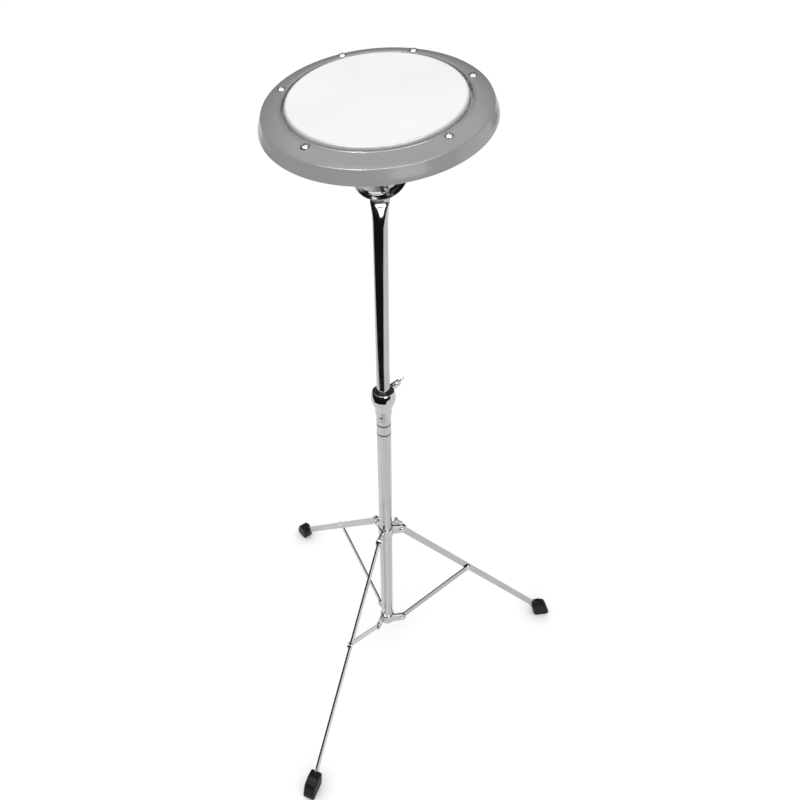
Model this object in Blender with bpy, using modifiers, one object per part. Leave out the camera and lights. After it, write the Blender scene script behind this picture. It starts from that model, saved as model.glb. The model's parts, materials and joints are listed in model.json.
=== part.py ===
"""Tunable practice pad with a tilter, on a telescoping mast and a folding tripod of flat bars.

Metres, +Z up. The mast is built on the Z axis and the floor at Z = 0, and at the end the whole
object is moved so that its origin is the middle of its footprint, on the floor.

The tripod is a straight-line linkage. A brace is as long as the stretch of leg above it, and the
pivots of both collars stand equally far from the mast. So when a brace turns up by some angle, its
leg turns down by the same angle, and the upper collar keeps to the mast.
"""

import math

import bmesh
import bpy
from mathutils import Matrix, Vector

GAP = 0.0003  # between pieces that touch
COLLECTION = "practice_pad_on_stand"

# Mast
LOWER_TUBE_R = 0.0111
LOWER_TUBE_WALL = 0.0011
LOWER_TUBE_BOTTOM = 0.043
LOWER_TUBE_TOP = 0.578
UPPER_TUBE_R = 0.0095
UPPER_TUBE_WALL = 0.0012
UPPER_TUBE_BOTTOM = 0.330
CLAMP_BOTTOM = 0.562
CLAMP_TOP = 0.600
CLAMP_SCREW_AZIMUTH = math.radians(50)
CLAMP_SCREW_HEIGHT = 0.595

# Flattened and bent top of the upper tube, and the tilter bolted to it
BOLT_HEIGHT = 0.895
BOLT_SIDEWAYS = 0.004  # hole off the middle of the flattened end
BEND_HEIGHT = 0.872
FLAT_HALF_WIDTH = 0.0120
FLAT_HALF_THICKNESS = 0.0026
ROUND_BELOW_BEND = 0.027
TILT_AZIMUTH = math.radians(-80)  # where the bolt's head faces
BEND = math.radians(14.1)
LEAN = math.radians(6.8)
BOLT_R = 0.003
BRACKET_R = 0.0315
BRACKET_RISE = 0.023  # from the bolt up to the half-moon's centre
BRACKET_DEPTH = 0.010
BRACKET_WALL = 0.002
BRACKET_BACK = FLAT_HALF_THICKNESS + GAP
STUD_FORWARD = 0.0097  # from the middle of the flattened end to the stud's axis

# Pad, measured from the playing surface down along its axis
PAD_RISE = 0.112  # from the bolt up to the playing surface
HEAD_R = 0.0932
HEAD_THICKNESS = 0.0006
SHOULDER_R = 0.1184
SHOULDER_DROP = 0.0085
SKIRT_R = 0.1237
SKIRT_DROP = 0.0212
BASE_DROP = 0.0205
SCREW_CIRCLE_R = 0.1040
SCREW_AZIMUTHS = [math.radians(a) for a in (7, 57, 101, 152, 220, 300)]
SCREW_COUNT = len(SCREW_AZIMUTHS)
STUD_R = 0.004
INSERT_R = 0.0101
INSERT_TOP = -0.0105

# Tripod
LEG_AZIMUTHS = [math.radians(6.2 + 120 * k) for k in range(3)]
PIVOT_R = 0.0275
COLLAR_SCREW_TURN = math.radians(36)  # from the first leg
UPPER_PIVOT_HEIGHT = 0.301
LOWER_PIVOT_HEIGHT = 0.0505
LINK = 0.177  # length of a brace, and of the leg above its brace pivot
LEG_ANGLE = math.asin((UPPER_PIVOT_HEIGHT - LOWER_PIVOT_HEIGHT) / (2 * LINK))
LEG_WIDTH = 0.012
LEG_THICKNESS = 0.003
BRACE_WIDTH = 0.010
BRACE_THICKNESS = 0.0025
EAR_THICKNESS = 0.0015
EAR_R = 0.0085
BRACE_ACROSS = -0.00635  # the braces stand beside the legs, so that they fold past each other
BRACE_END_ACROSS = -(LEG_THICKNESS + BRACE_THICKNESS) / 2 - GAP
COLLAR_INNER_R = LOWER_TUBE_R + GAP
COLLAR_WALL = 0.0016
COLLAR_HEIGHT = 0.019
PIN_R = 0.0022
FOOT_R = 0.317  # from the mast to the middle of a foot
FOOT_LENGTH = 0.030
FOOT_WIDTH = 0.019
FOOT_HEIGHT = 0.031
LEG_STRAIGHT_TO = 0.291
LEG_END = (0.3050, 0.0160)

STEPS_TUBE = 32
STEPS_PAD = 48
STEPS_SMALL = 12


# ---------------------------------------------------------------- scene and helpers


def clear_scene():
    for obj in list(bpy.data.objects):
        bpy.data.objects.remove(obj)
    for name in (COLLECTION, "cutters"):
        bpy.context.scene.collection.children.link(bpy.data.collections.new(name))
    bpy.data.collections["cutters"].hide_render = True


def material(name, color, metallic, roughness):
    found = bpy.data.materials.get(name)
    if found:
        return found
    made = bpy.data.materials.new(name)
    made.use_nodes = True
    shader = made.node_tree.nodes["Principled BSDF"]
    shader.inputs["Base Color"].default_value = (*color, 1)
    shader.inputs["Metallic"].default_value = metallic
    shader.inputs["Roughness"].default_value = roughness
    made.diffuse_color = (*color, 1)
    return made


def chrome():
    return material("chrome", (0.72, 0.73, 0.74), 1.0, 0.12)


def zinc():
    return material("zinc_steel", (0.66, 0.67, 0.68), 1.0, 0.3)


def gray_plastic():
    return material("gray_plastic", (0.32, 0.32, 0.32), 0.0, 0.45)


def black_rubber():
    return material("black_rubber", (0.018, 0.018, 0.018), 0.0, 0.75)


def adopt(obj, look, parent=None):
    """Puts a new object in the collection with its material, under its parent, where it stands."""
    for old in list(obj.users_collection):
        old.objects.unlink(obj)
    bpy.data.collections[COLLECTION].objects.link(obj)
    obj.data.materials.clear()
    obj.data.materials.append(look)
    if parent:
        obj.parent = parent
        obj.matrix_parent_inverse = parent.matrix_world.inverted()
    return obj


def empty(name, matrix, parent=None):
    made = bpy.data.objects.new(name, None)
    made.empty_display_size = 0.02
    bpy.data.collections[COLLECTION].objects.link(made)
    made.matrix_world = matrix
    bpy.context.view_layer.update()
    if parent:
        made.parent = parent
        made.matrix_parent_inverse = parent.matrix_world.inverted()
        bpy.context.view_layer.update()
    return made


def axes(origin, x, y, z):
    """The matrix of a frame with these three directions at this origin."""
    matrix = Matrix((x, y, z)).transposed().to_4x4()
    matrix.translation = origin
    return matrix


def shade_round(obj, degrees=40):
    obj.data.shade_smooth()
    obj.data.set_sharp_from_angle(angle=math.radians(degrees))


def link_mesh(name, mesh, matrix):
    obj = bpy.data.objects.new(name, mesh)
    bpy.context.scene.collection.objects.link(obj)
    obj.matrix_world = matrix
    bpy.context.view_layer.update()
    return obj


def turned(name, profile, matrix, steps=STEPS_SMALL, ring=False):
    """A (radius, height) profile turned round local Z. A ring's profile closes on itself."""
    mesh = bpy.data.meshes.new(name)
    points = [(radius, 0, height) for radius, height in profile]
    edges = [(k, k + 1) for k in range(len(points) - 1)]
    if ring:
        edges.append((len(points) - 1, 0))
    mesh.from_pydata(points, edges, [])
    obj = link_mesh(name, mesh, matrix)
    screw = obj.modifiers.new("turn", "SCREW")
    screw.steps = steps
    screw.render_steps = steps
    screw.use_merge_vertices = True
    screw.merge_threshold = 0.00001
    return obj


def disc(name, radius, low, high, matrix, steps=STEPS_SMALL):
    return turned(name, [(0, high), (radius, high), (radius, low), (0, low)], matrix, steps)


def washer(name, inner, outer, low, high, matrix, steps=STEPS_SMALL):
    profile = [(inner, high), (outer, high), (outer, low), (inner, low)]
    return turned(name, profile, matrix, steps, ring=True)


def circle_points(radius, count=STEPS_SMALL, centre=(0, 0), start=0.0, stop=2 * math.pi):
    """Points round a circle, or from start to stop with both ends."""
    whole = abs(stop - start - 2 * math.pi) < 1e-9
    last = count if whole else count - 1
    angles = [start + (stop - start) * k / last for k in range(count)]
    return [(centre[0] + radius * math.cos(a), centre[1] + radius * math.sin(a)) for a in angles]


def flat(name, outlines, thickness, matrix):
    """A plate: the first outline, with the others as holes, centred on local Z = 0."""
    curve = bpy.data.curves.new(name, "CURVE")
    curve.dimensions = "2D"
    curve.fill_mode = "BOTH"
    curve.extrude = thickness / 2
    for outline in outlines:
        spline = curve.splines.new("POLY")
        spline.points.add(len(outline) - 1)
        for point, (x, y) in zip(spline.points, outline):
            point.co = (x, y, 0, 1)
        spline.use_cyclic_u = True
    obj = bpy.data.objects.new(name, curve)
    bpy.context.scene.collection.objects.link(obj)
    obj.matrix_world = matrix
    bpy.context.view_layer.update()
    return obj


def to_mesh(obj):
    """The object as a mesh with its modifiers applied, its caps welded and its faces outward."""
    graph = bpy.context.evaluated_depsgraph_get()
    mesh = bpy.data.meshes.new_from_object(obj.evaluated_get(graph))
    work = bmesh.new()
    work.from_mesh(mesh)
    bmesh.ops.remove_doubles(work, verts=work.verts, dist=0.000001)
    bmesh.ops.recalc_face_normals(work, faces=work.faces)
    work.to_mesh(mesh)
    work.free()
    name = obj.name
    matrix = obj.matrix_world.copy()
    bpy.data.objects.remove(obj)
    made = link_mesh(name, mesh, matrix)
    made.name = name
    return made


def combine(obj, other, operation):
    """Adds a Boolean with another object, which becomes a hidden cutter."""
    other = to_mesh(other)
    for old in list(other.users_collection):
        old.objects.unlink(other)
    bpy.data.collections["cutters"].objects.link(other)
    other.hide_render = True
    other.display_type = "WIRE"
    boolean = obj.modifiers.new(operation.lower(), "BOOLEAN")
    boolean.operation = operation
    boolean.solver = "EXACT"
    boolean.object = other
    return obj


def join(obj, other):
    return combine(obj, other, "UNION")


def cut(obj, other):
    return combine(obj, other, "DIFFERENCE")


def baked(obj):
    """Applies the modifiers, so that the cutters can go."""
    cutters = [m.object for m in obj.modifiers if m.type == "BOOLEAN"]
    obj = to_mesh(obj)
    for cutter in cutters:
        bpy.data.objects.remove(cutter)
    return obj


def bevelled(obj, width, segments=2, degrees=40):
    """Makes each flat side one face again, then rounds the edges sharper than the angle."""
    whole = obj.modifiers.new("whole_faces", "DECIMATE")
    whole.decimate_type = "DISSOLVE"
    whole.angle_limit = math.radians(0.5)
    bevel = obj.modifiers.new("bevel", "BEVEL")
    bevel.width = width
    bevel.segments = segments
    bevel.limit_method = "ANGLE"
    bevel.angle_limit = math.radians(degrees)
    return obj


# ---------------------------------------------------------------- frames of the moving pieces

UP = Vector((0, 0, 1))


def tilt_axes():
    """The bolt's place, and the frames of the flattened end and of the tilter that leans on it."""
    out = Vector((math.cos(TILT_AZIMUTH), math.sin(TILT_AZIMUTH), 0))
    across = Vector((-math.sin(TILT_AZIMUTH), math.cos(TILT_AZIMUTH), 0))
    forward = math.cos(BEND) * out - math.sin(BEND) * UP
    rise = math.sin(BEND) * out + math.cos(BEND) * UP
    place = (BOLT_HEIGHT - BEND_HEIGHT) * math.tan(BEND) * out + BOLT_SIDEWAYS * across
    place = place + Vector((0, 0, BOLT_HEIGHT))
    straight = axes(place, across, rise, forward)
    leaned = straight @ Matrix.Rotation(LEAN, 4, "Z")
    return straight, leaned


def pad_axes():
    """The pad's frame: origin in the middle of the playing surface, Z along its axis."""
    _, leaned = tilt_axes()
    x = leaned.col[0].to_3d()
    rise = leaned.col[1].to_3d()
    forward = leaned.col[2].to_3d()
    centre = leaned.translation + STUD_FORWARD * forward + PAD_RISE * rise
    return axes(centre, x, -forward, rise)


def leg_plane(azimuth, radius, height, across=0.0, slope=0.0):
    """X runs out along a leg, Y up and Z to the side away from the next leg, turned by slope."""
    turn = Matrix.Rotation(azimuth, 4, "Z") @ Matrix.Translation((radius, across, height))
    return turn @ Matrix.Rotation(math.pi / 2, 4, "X") @ Matrix.Rotation(slope, 4, "Z")


def pointing(origin, direction, roll=0.0):
    """A frame whose Z points along a direction."""
    turn = Vector(direction).to_track_quat("Z", "Y").to_matrix().to_4x4()
    turn = turn @ Matrix.Rotation(roll, 4, "Z")
    turn.translation = Vector(origin)
    return turn


# ---------------------------------------------------------------- mast


def lower_tube(parent):
    inner = LOWER_TUBE_R - LOWER_TUBE_WALL
    obj = washer(
        "lower_tube", inner, LOWER_TUBE_R, LOWER_TUBE_BOTTOM, LOWER_TUBE_TOP, Matrix(), STEPS_TUBE
    )
    adopt(obj, chrome(), parent)
    shade_round(obj)


def height_clamp(parent):
    """Turned clamp on top of the lower tube, with the boss of its wing screw."""
    bore = LOWER_TUBE_R + GAP
    bush_bore = 0.0146
    outer = [(0.0157, 0), (0.0169, -0.0025), (0.0179, -0.006), (0.0184, -0.011), (0.0184, -0.014)]
    outer += [(0.0165, -0.022), (0.0136, -0.029), (0.0128, -0.031)]
    outer.append((0.0128, CLAMP_BOTTOM - CLAMP_TOP))
    profile = [(radius, CLAMP_TOP + drop) for radius, drop in outer]
    step = LOWER_TUBE_TOP + GAP
    profile += [(bore, CLAMP_BOTTOM), (bore, step), (bush_bore, step), (bush_bore, CLAMP_TOP)]
    obj = to_mesh(turned("height_clamp", profile, Matrix(), STEPS_TUBE, ring=True))
    along = Vector((math.cos(CLAMP_SCREW_AZIMUTH), math.sin(CLAMP_SCREW_AZIMUTH), 0))
    frame = pointing((0, 0, CLAMP_SCREW_HEIGHT), along)
    join(obj, disc("boss", 0.0054, 0.0158, 0.0265, frame, 16))
    cut(obj, disc("screw_hole", 0.0033, 0.0120, 0.0300, frame, STEPS_SMALL))
    obj = baked(obj)
    adopt(obj, chrome(), parent)
    shade_round(obj)
    return frame


def nylon_bush(parent):
    low = LOWER_TUBE_TOP + 2 * GAP
    high = CLAMP_TOP - 0.001
    obj = washer("nylon_bush", 0.0099, 0.0142, low, high, Matrix(), STEPS_TUBE)
    adopt(obj, material("black_nylon", (0.02, 0.02, 0.02), 0.0, 0.5), parent)
    shade_round(obj)


def wing_outline(reach, root, tip):
    """Half of a wing screw's blade, mirrored to both sides: a waist at the middle, round ends."""
    right = circle_points(tip, 7, (reach - tip, 0.0035), -math.pi / 2, math.pi / 2)
    right = [(0, -root)] + right + [(0.006, root)]
    left = [(-x, y) for x, y in reversed(right[1:])]
    return right + left


def winged(name, profile, blade, thickness, at, frame, look, ring=False):
    """A wing screw or nut: a body turned round the frame's Z, with a flat blade across it."""
    obj = to_mesh(turned(name, profile, frame, STEPS_SMALL, ring=ring))
    blade_frame = frame @ Matrix.Translation((0, 0, at)) @ Matrix.Rotation(math.pi / 2, 4, "X")
    join(obj, flat("blade", [blade], thickness, blade_frame))
    obj = baked(obj)
    return adopt(obj, look)


def height_wing_screw(frame):
    """Wing screw of the height clamp: it presses the nylon bush against the upper tube."""
    tip = 0.0146
    profile = [(0, 0.0365), (0.0045, 0.0365), (0.0052, 0.0345), (0.0052, 0.0270)]
    profile += [(0.0028, 0.0270), (0.0028, tip), (0, tip)]
    blade = wing_outline(0.0120, 0.004, 0.004)
    frame = frame @ Matrix.Rotation(math.radians(127), 4, "Z")
    obj = winged("height_wing_screw", profile, blade, 0.0026, 0.0355, frame, chrome())
    shade_round(obj)
    return obj


def upper_tube(parent):
    """Tube whose top is pressed flat and bent towards the player, drawn as a loft of sections."""
    straight, _ = tilt_axes()
    across = straight.col[0].to_3d()
    out = Vector((math.cos(TILT_AZIMUTH), math.sin(TILT_AZIMUTH), 0))
    rise = straight.col[1].to_3d()
    forward = straight.col[2].to_3d()
    bend = Vector((0, 0, BEND_HEIGHT))
    bottom = Vector((0, 0, UPPER_TUBE_BOTTOM))
    sections = [(bottom, out, 0.0)]
    for step in range(7):
        share = step / 6
        place = Vector((0, 0, BEND_HEIGHT - ROUND_BELOW_BEND * (1 - share)))
        sections.append((place, out, share * share * (3 - 2 * share)))
    top = (BOLT_HEIGHT - BEND_HEIGHT) / math.cos(BEND) + 0.011
    sections.append((bend + 0.004 * rise, forward, 1.0))
    sections.append((bend + (top - 0.004) * rise, forward, 1.0))
    count = 28
    mesh = bpy.data.meshes.new("upper_tube")
    work = bmesh.new()
    rings = []
    for place, thick_way, flatness in sections:
        wide = UPPER_TUBE_R + (FLAT_HALF_WIDTH - UPPER_TUBE_R) * flatness
        thick = UPPER_TUBE_R + (FLAT_HALF_THICKNESS - UPPER_TUBE_R) * flatness
        power = 1 - 0.45 * flatness
        ring = []
        for k in range(count):
            angle = 2 * math.pi * k / count
            c, s = math.cos(angle), math.sin(angle)
            x = wide * math.copysign(abs(c) ** power, c)
            y = thick * math.copysign(abs(s) ** power, s)
            ring.append(work.verts.new(place + x * across + y * thick_way))
        rings.append(ring)
    tip = [work.verts.new(v.co + 0.004 * rise - 0.25 * (v.co - sections[-1][0])) for v in rings[-1]]
    rings.append(tip)
    for below, above in zip(rings, rings[1:]):
        for k in range(count):
            after = (k + 1) % count
            work.faces.new((below[k], below[after], above[after], above[k]))
    work.faces.new(list(reversed(rings[0])))
    work.faces.new(rings[-1])
    bmesh.ops.recalc_face_normals(work, faces=work.faces)
    work.to_mesh(mesh)
    work.free()
    obj = link_mesh("upper_tube", mesh, Matrix())
    bore_top = BEND_HEIGHT - ROUND_BELOW_BEND - 0.002
    bore = UPPER_TUBE_R - UPPER_TUBE_WALL
    cut(obj, disc("bore", bore, UPPER_TUBE_BOTTOM - 0.01, bore_top, Matrix(), 24))
    cut(obj, disc("bolt_hole", BOLT_R + GAP, -0.01, 0.01, straight, STEPS_SMALL))
    obj = baked(obj)
    adopt(obj, chrome(), parent)
    shade_round(obj, 30)


# ---------------------------------------------------------------- tilter


def half_moon(radius, height, inset=0.0):
    """Outline of the half-moon: a half circle below a straight top edge, centred on x = 0."""
    lower = circle_points(radius, 25, (0, BRACKET_RISE), math.pi, 2 * math.pi)
    top = BRACKET_RISE + height - inset
    return lower + [(radius, top), (-radius, top)]


def tilt_bracket(parent):
    """Pressed half-moon: a plate on the flattened tube with a flange round its whole edge."""
    _, leaned = tilt_axes()
    depth = BRACKET_DEPTH
    middle = BRACKET_BACK + depth / 2
    frame = leaned @ Matrix.Translation((-BOLT_SIDEWAYS, 0, middle))
    obj = to_mesh(flat("tilt_bracket", [half_moon(BRACKET_R, 0.006)], depth, frame))
    hollow_frame = leaned @ Matrix.Translation((-BOLT_SIDEWAYS, 0, middle + BRACKET_WALL))
    hollow = half_moon(BRACKET_R - BRACKET_WALL, 0.006, BRACKET_WALL)
    cut(obj, flat("hollow", [hollow], depth, hollow_frame))
    cut(obj, disc("bolt_hole", BOLT_R + GAP, 0, 0.006, leaned, STEPS_SMALL))
    obj = baked(obj)
    adopt(obj, chrome(), parent)
    shade_round(obj)


def pivot_bolt(parent):
    """Round-headed bolt through the bracket and the flattened tube."""
    straight, _ = tilt_axes()
    seat = BRACKET_BACK + BRACKET_WALL + GAP + 0.0012 + GAP
    head = [(0, 0.0034), (0.0026, 0.0030), (0.0044, 0.0016), (0.0046, 0)]
    profile = [(radius, seat + rise) for radius, rise in head]
    profile += [(BOLT_R, seat), (BOLT_R, -0.0185), (0.0025, -0.0192), (0, -0.0192)]
    adopt(turned("pivot_bolt", profile, straight, 16), zinc(), parent)
    low = BRACKET_BACK + BRACKET_WALL + GAP
    front = washer("pivot_washer_front", BOLT_R + GAP, 0.0056, low, low + 0.0012, straight, 20)
    adopt(front, zinc(), parent)
    high = -FLAT_HALF_THICKNESS - GAP
    back = washer("pivot_washer_back", BOLT_R + GAP, 0.0066, high - 0.0012, high, straight, 20)
    adopt(back, zinc(), parent)
    for obj in (front, back, bpy.data.objects["pivot_bolt"]):
        shade_round(obj)


def tilt_wing_nut(parent):
    straight, _ = tilt_axes()
    top = -FLAT_HALF_THICKNESS - 2 * GAP - 0.0012
    frame = straight @ Matrix.Translation((0, 0, top)) @ Matrix.Rotation(math.pi, 4, "X")
    bore = BOLT_R + 0.0001
    profile = [(bore, 0.0085), (0.0045, 0.0085), (0.0060, 0.0020), (0.0064, 0), (bore, 0)]
    blade = wing_outline(0.0155, 0.0032, 0.0045)
    obj = to_mesh(turned("tilt_wing_nut", profile, frame, 16, ring=True))
    blade_frame = frame @ Matrix.Rotation(math.pi / 2, 4, "X")
    join(obj, flat("blade", [[(x, y + 0.005) for x, y in blade]], 0.0026, blade_frame))
    cut(obj, disc("thread", bore, -0.005, 0.02, frame, 16))
    obj = baked(obj)
    adopt(obj, chrome(), parent)
    shade_round(obj)


def stud_parts(parent):
    """Stem on the half-moon's top, with the stud, the support plate and its rubber, and a nut."""
    frame = pad_axes()
    foot = BRACKET_RISE + 0.006 - PAD_RISE + GAP
    plate_top = -BASE_DROP - 0.004
    plate = plate_top - 0.0028
    shoulder = plate - GAP - 0.0065
    profile = [(0, -0.0125), (STUD_R - 0.0004, -0.0125), (STUD_R, -0.0130), (STUD_R, shoulder)]
    profile += [(0.0055, shoulder), (0.0065, shoulder - 0.001), (0.0065, foot + 0.004)]
    profile += [(0.0078, foot + 0.0035), (0.0078, foot), (0, foot)]
    stud = turned("pad_stud", profile, frame, 20)
    adopt(stud, chrome(), parent)
    clear = STUD_R + GAP
    hexagon = circle_points(0.0075, 6)
    nut_frame = frame @ Matrix.Translation((0, 0, plate - GAP - 0.003))
    nut = flat("stud_lock_nut", [hexagon, circle_points(clear, 12)], 0.0055, nut_frame)
    nut = to_mesh(nut)
    adopt(nut, zinc(), parent)
    outer = [(0.0270, plate_top), (0.0290, plate_top - 0.0008), (0.0300, plate + 0.0002)]
    profile = [(clear, plate_top)] + outer + [(0.0288, plate), (clear, plate)]
    support = turned("support_plate", profile, frame, 32, ring=True)
    adopt(support, chrome(), parent)
    low = plate_top + GAP
    rubber = washer("support_rubber", clear, 0.0275, low, low + 0.0030, frame, 32)
    adopt(rubber, black_rubber(), parent)
    for obj in (stud, support, rubber):
        shade_round(obj)


# ---------------------------------------------------------------- pad


def pad_rim(parent):
    """Gray cover that is also the counter hoop: an inner bead, a domed flange and a skirt."""
    wall = 0.0026
    outer = [(0.0966, -0.0046), (0.0978, -0.0030), (0.1000, -0.0024), (0.1035, -0.0028)]
    outer += [(0.1080, -0.0038), (0.1135, -0.0056), (0.1165, -0.0069)]
    outer += [(SHOULDER_R, -SHOULDER_DROP), (0.1197, -0.0110), (0.1222, -0.0165)]
    outer += [(SKIRT_R, -SKIRT_DROP)]
    inner = [(SKIRT_R - wall, -SKIRT_DROP), (0.1178, -0.0120), (0.1160, -0.0100)]
    inner += [(0.1120, -0.0085), (0.1035, -0.0066), (0.0966, -0.0066)]
    frame = pad_axes()
    obj = to_mesh(turned("pad_rim", outer + inner, frame, STEPS_PAD, ring=True))
    for k in range(SCREW_COUNT):
        cut(obj, disc("screw_way", 0.0024, -0.012, 0.004, screw_frame(k), 12))
        cut(obj, disc("screw_seat", 0.0050, -0.0040, 0.004, screw_frame(k), 20))
    obj = baked(obj)
    adopt(obj, gray_plastic(), parent)
    shade_round(obj, 35)


def screw_frame(index):
    angle = SCREW_AZIMUTHS[index]
    place = (SCREW_CIRCLE_R * math.cos(angle), SCREW_CIRCLE_R * math.sin(angle), 0)
    return pad_axes() @ Matrix.Translation(place)


def drumhead(parent):
    """Coated film, pulled over the base's bearing edge and down to its flesh hoop."""
    t = HEAD_THICKNESS
    r = HEAD_R
    top = [(0, 0), (r - 0.0040, 0), (r - 0.0016, -0.0005), (r - 0.0002, -0.0019)]
    top += [(r + 0.0004, -0.0040), (r + 0.0006, -0.0090)]
    under = [(r + 0.0006 - t, -0.0090), (r + 0.0004 - t, -0.0040), (r - 0.0007, -0.0022)]
    under += [(r - 0.0018, -0.0010 - t * 0.5), (r - 0.0041, -t), (0, -t)]
    obj = turned("drumhead", top + under, pad_axes(), STEPS_PAD)
    adopt(obj, material("coated_film", (0.86, 0.87, 0.865), 0.0, 0.55), parent)
    shade_round(obj)


def flesh_hoop(parent):
    low, high = -0.0098, -0.0070
    r = HEAD_R + 0.0006 + GAP
    obj = washer("flesh_hoop", r, r + 0.0040, low, high, pad_axes(), STEPS_PAD)
    adopt(obj, zinc(), parent)
    shade_round(obj)


def pad_base(parent):
    """Round base: a floor with the head's bearing edge and six posts for the screw inserts."""
    floor = -0.0170
    edge = HEAD_R - 0.0022
    profile = [(edge - 0.0030, -0.0022), (edge - 0.0016, -0.0013), (edge - 0.0004, -0.0024)]
    profile += [(edge, -0.0045), (edge, floor), (0.1100, floor), (0.1100, -BASE_DROP)]
    profile += [(INSERT_R + GAP, -BASE_DROP), (INSERT_R + GAP, INSERT_TOP)]
    profile += [(0.0128, INSERT_TOP), (0.0128, floor), (edge - 0.0030, floor)]
    frame = pad_axes()
    obj = to_mesh(turned("pad_base", profile, frame, STEPS_PAD, ring=True))
    for k in range(SCREW_COUNT):
        join(obj, disc("post", 0.0056, -0.0195, -0.0118, screw_frame(k), 16))
    for k in range(SCREW_COUNT):
        cut(obj, disc("insert_hole", 0.0036, -0.0180, -0.0080, screw_frame(k), 12))
    obj = baked(obj)
    adopt(obj, material("base_plastic", (0.05, 0.05, 0.052), 0.0, 0.5), parent)
    shade_round(obj, 35)


def foam_disc(parent):
    """Foam under the film, which damps it."""
    radius = HEAD_R - 0.0022 - 0.0030 - GAP
    profile = [(0, -0.0009), (radius - 0.002, -0.0009), (radius - 0.0005, -0.003)]
    profile += [(radius - 0.0005, -0.0167), (0.0134, -0.0167)]
    profile += [(0.0134, INSERT_TOP + 0.0015), (0, INSERT_TOP + 0.0015)]
    obj = turned("foam_disc", profile, pad_axes(), 32)
    adopt(obj, material("damping_foam", (0.10, 0.10, 0.11), 0.0, 0.9), parent)
    shade_round(obj)


def centre_insert(parent):
    """Threaded insert in the middle of the base, for the tilter's stud."""
    bore = STUD_R + 0.0001
    low, high = -BASE_DROP, INSERT_TOP
    profile = [(bore, high), (INSERT_R, high), (INSERT_R, low), (bore, low)]
    obj = turned("centre_insert", profile, pad_axes(), 24, ring=True)
    adopt(obj, zinc(), parent)
    shade_round(obj)


def anti_slip_ring(parent):
    profile = [(0.0640, -BASE_DROP - GAP), (0.0720, -BASE_DROP - GAP), (0.0712, -0.0228)]
    profile += [(0.0648, -0.0228)]
    obj = turned("anti_slip_ring", profile, pad_axes(), 28, ring=True)
    adopt(obj, black_rubber(), parent)
    shade_round(obj)


def tension_screws(pad):
    """Six screws that pull the rim down, each with an insert in the base."""
    bore = 0.0021
    for k in range(SCREW_COUNT):
        frame = screw_frame(k)
        insert = washer(f"screw_insert_{k + 1}", bore, 0.0033, -0.0170, -0.0122, frame, 12)
        adopt(insert, material("brass", (0.62, 0.48, 0.22), 1.0, 0.35), pad)
        shade_round(insert)
        turn = empty(f"tension_screw_turn_{k + 1}", frame, pad)
        profile = [(0, -0.0011), (0.0022, -0.0013), (0.0037, -0.0021), (0.0043, -0.0031)]
        profile += [(0.0043, -0.0037), (0.0019, -0.0037), (0.0019, -0.0165), (0, -0.0165)]
        obj = to_mesh(turned(f"tension_screw_{k + 1}", profile, frame, 12))
        slot = disc("socket", 0.0017, -0.0019, 0.002, frame, 6)
        obj = baked(cut(obj, slot))
        adopt(obj, zinc(), turn)
        shade_round(obj)


# ---------------------------------------------------------------- tripod


def ear(name, azimuth, height, across):
    """A tab of a collar section, round the pivot, running in to the band."""
    near_side = abs(across) - EAR_THICKNESS / 2
    inner = math.sqrt((COLLAR_INNER_R + 0.0004) ** 2 - near_side**2)
    tab = circle_points(EAR_R, 9, (0, 0), -math.pi / 2, math.pi / 2)
    tab += [(inner - PIVOT_R, COLLAR_HEIGHT / 2), (inner - PIVOT_R, -COLLAR_HEIGHT / 2)]
    hole = circle_points(PIN_R + GAP, 12)
    frame = leg_plane(azimuth, PIVOT_R, height, across)
    return to_mesh(flat(name, [tab, hole], EAR_THICKNESS, frame))


def collar(label, height, across_middle, half_gap, parent):
    """Three pressed sections round the tube. Each leg or brace is held between two of them."""
    reach = half_gap + GAP + EAR_THICKNESS / 2
    for k, azimuth in enumerate(LEG_AZIMUTHS):
        following = LEG_AZIMUTHS[(k + 1) % 3]
        start = azimuth + math.asin((across_middle + reach) / (COLLAR_INNER_R + COLLAR_WALL / 2))
        stop = azimuth + math.radians(120)
        stop += math.asin((across_middle - reach) / (COLLAR_INNER_R + COLLAR_WALL / 2))
        outer = COLLAR_INNER_R + COLLAR_WALL
        band = circle_points(outer, 12, (0, 0), start, stop)
        band += list(reversed(circle_points(COLLAR_INNER_R, 12, (0, 0), start, stop)))
        name = f"{label}_section_{k + 1}"
        frame = Matrix.Translation((0, 0, height))
        obj = to_mesh(flat(name, [band], COLLAR_HEIGHT, frame))
        join(obj, ear("ear", azimuth, height, across_middle + reach))
        join(obj, ear("ear", following, height, across_middle - reach))
        if label == "upper_collar" and k == 0:
            screw = collar_screw_frame()
            join(obj, disc("boss", 0.0052, 0.0120, 0.0190, screw, 16))
            cut(obj, disc("screw_hole", 0.0031, 0.0050, 0.0250, screw, STEPS_SMALL))
        obj = baked(obj)
        adopt(obj, chrome(), parent)
        shade_round(obj, 30)


def collar_screw_frame():
    azimuth = LEG_AZIMUTHS[0] + COLLAR_SCREW_TURN
    along = Vector((math.cos(azimuth), math.sin(azimuth), 0))
    return pointing((0, 0, UPPER_PIVOT_HEIGHT), along)


def collar_thumb_screw(parent):
    """Thumb screw that locks the upper collar on the lower tube."""
    frame = collar_screw_frame()
    tip = COLLAR_INNER_R
    profile = [(0, 0.0295), (0.0042, 0.0295), (0.0048, 0.0275), (0.0048, 0.0195)]
    profile += [(0.0026, 0.0195), (0.0026, tip), (0, tip)]
    blade = wing_outline(0.0095, 0.0035, 0.0035)
    obj = winged("collar_thumb_screw", profile, blade, 0.0026, 0.0285, frame, chrome())
    adopt(obj, chrome(), parent)
    shade_round(obj)


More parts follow.
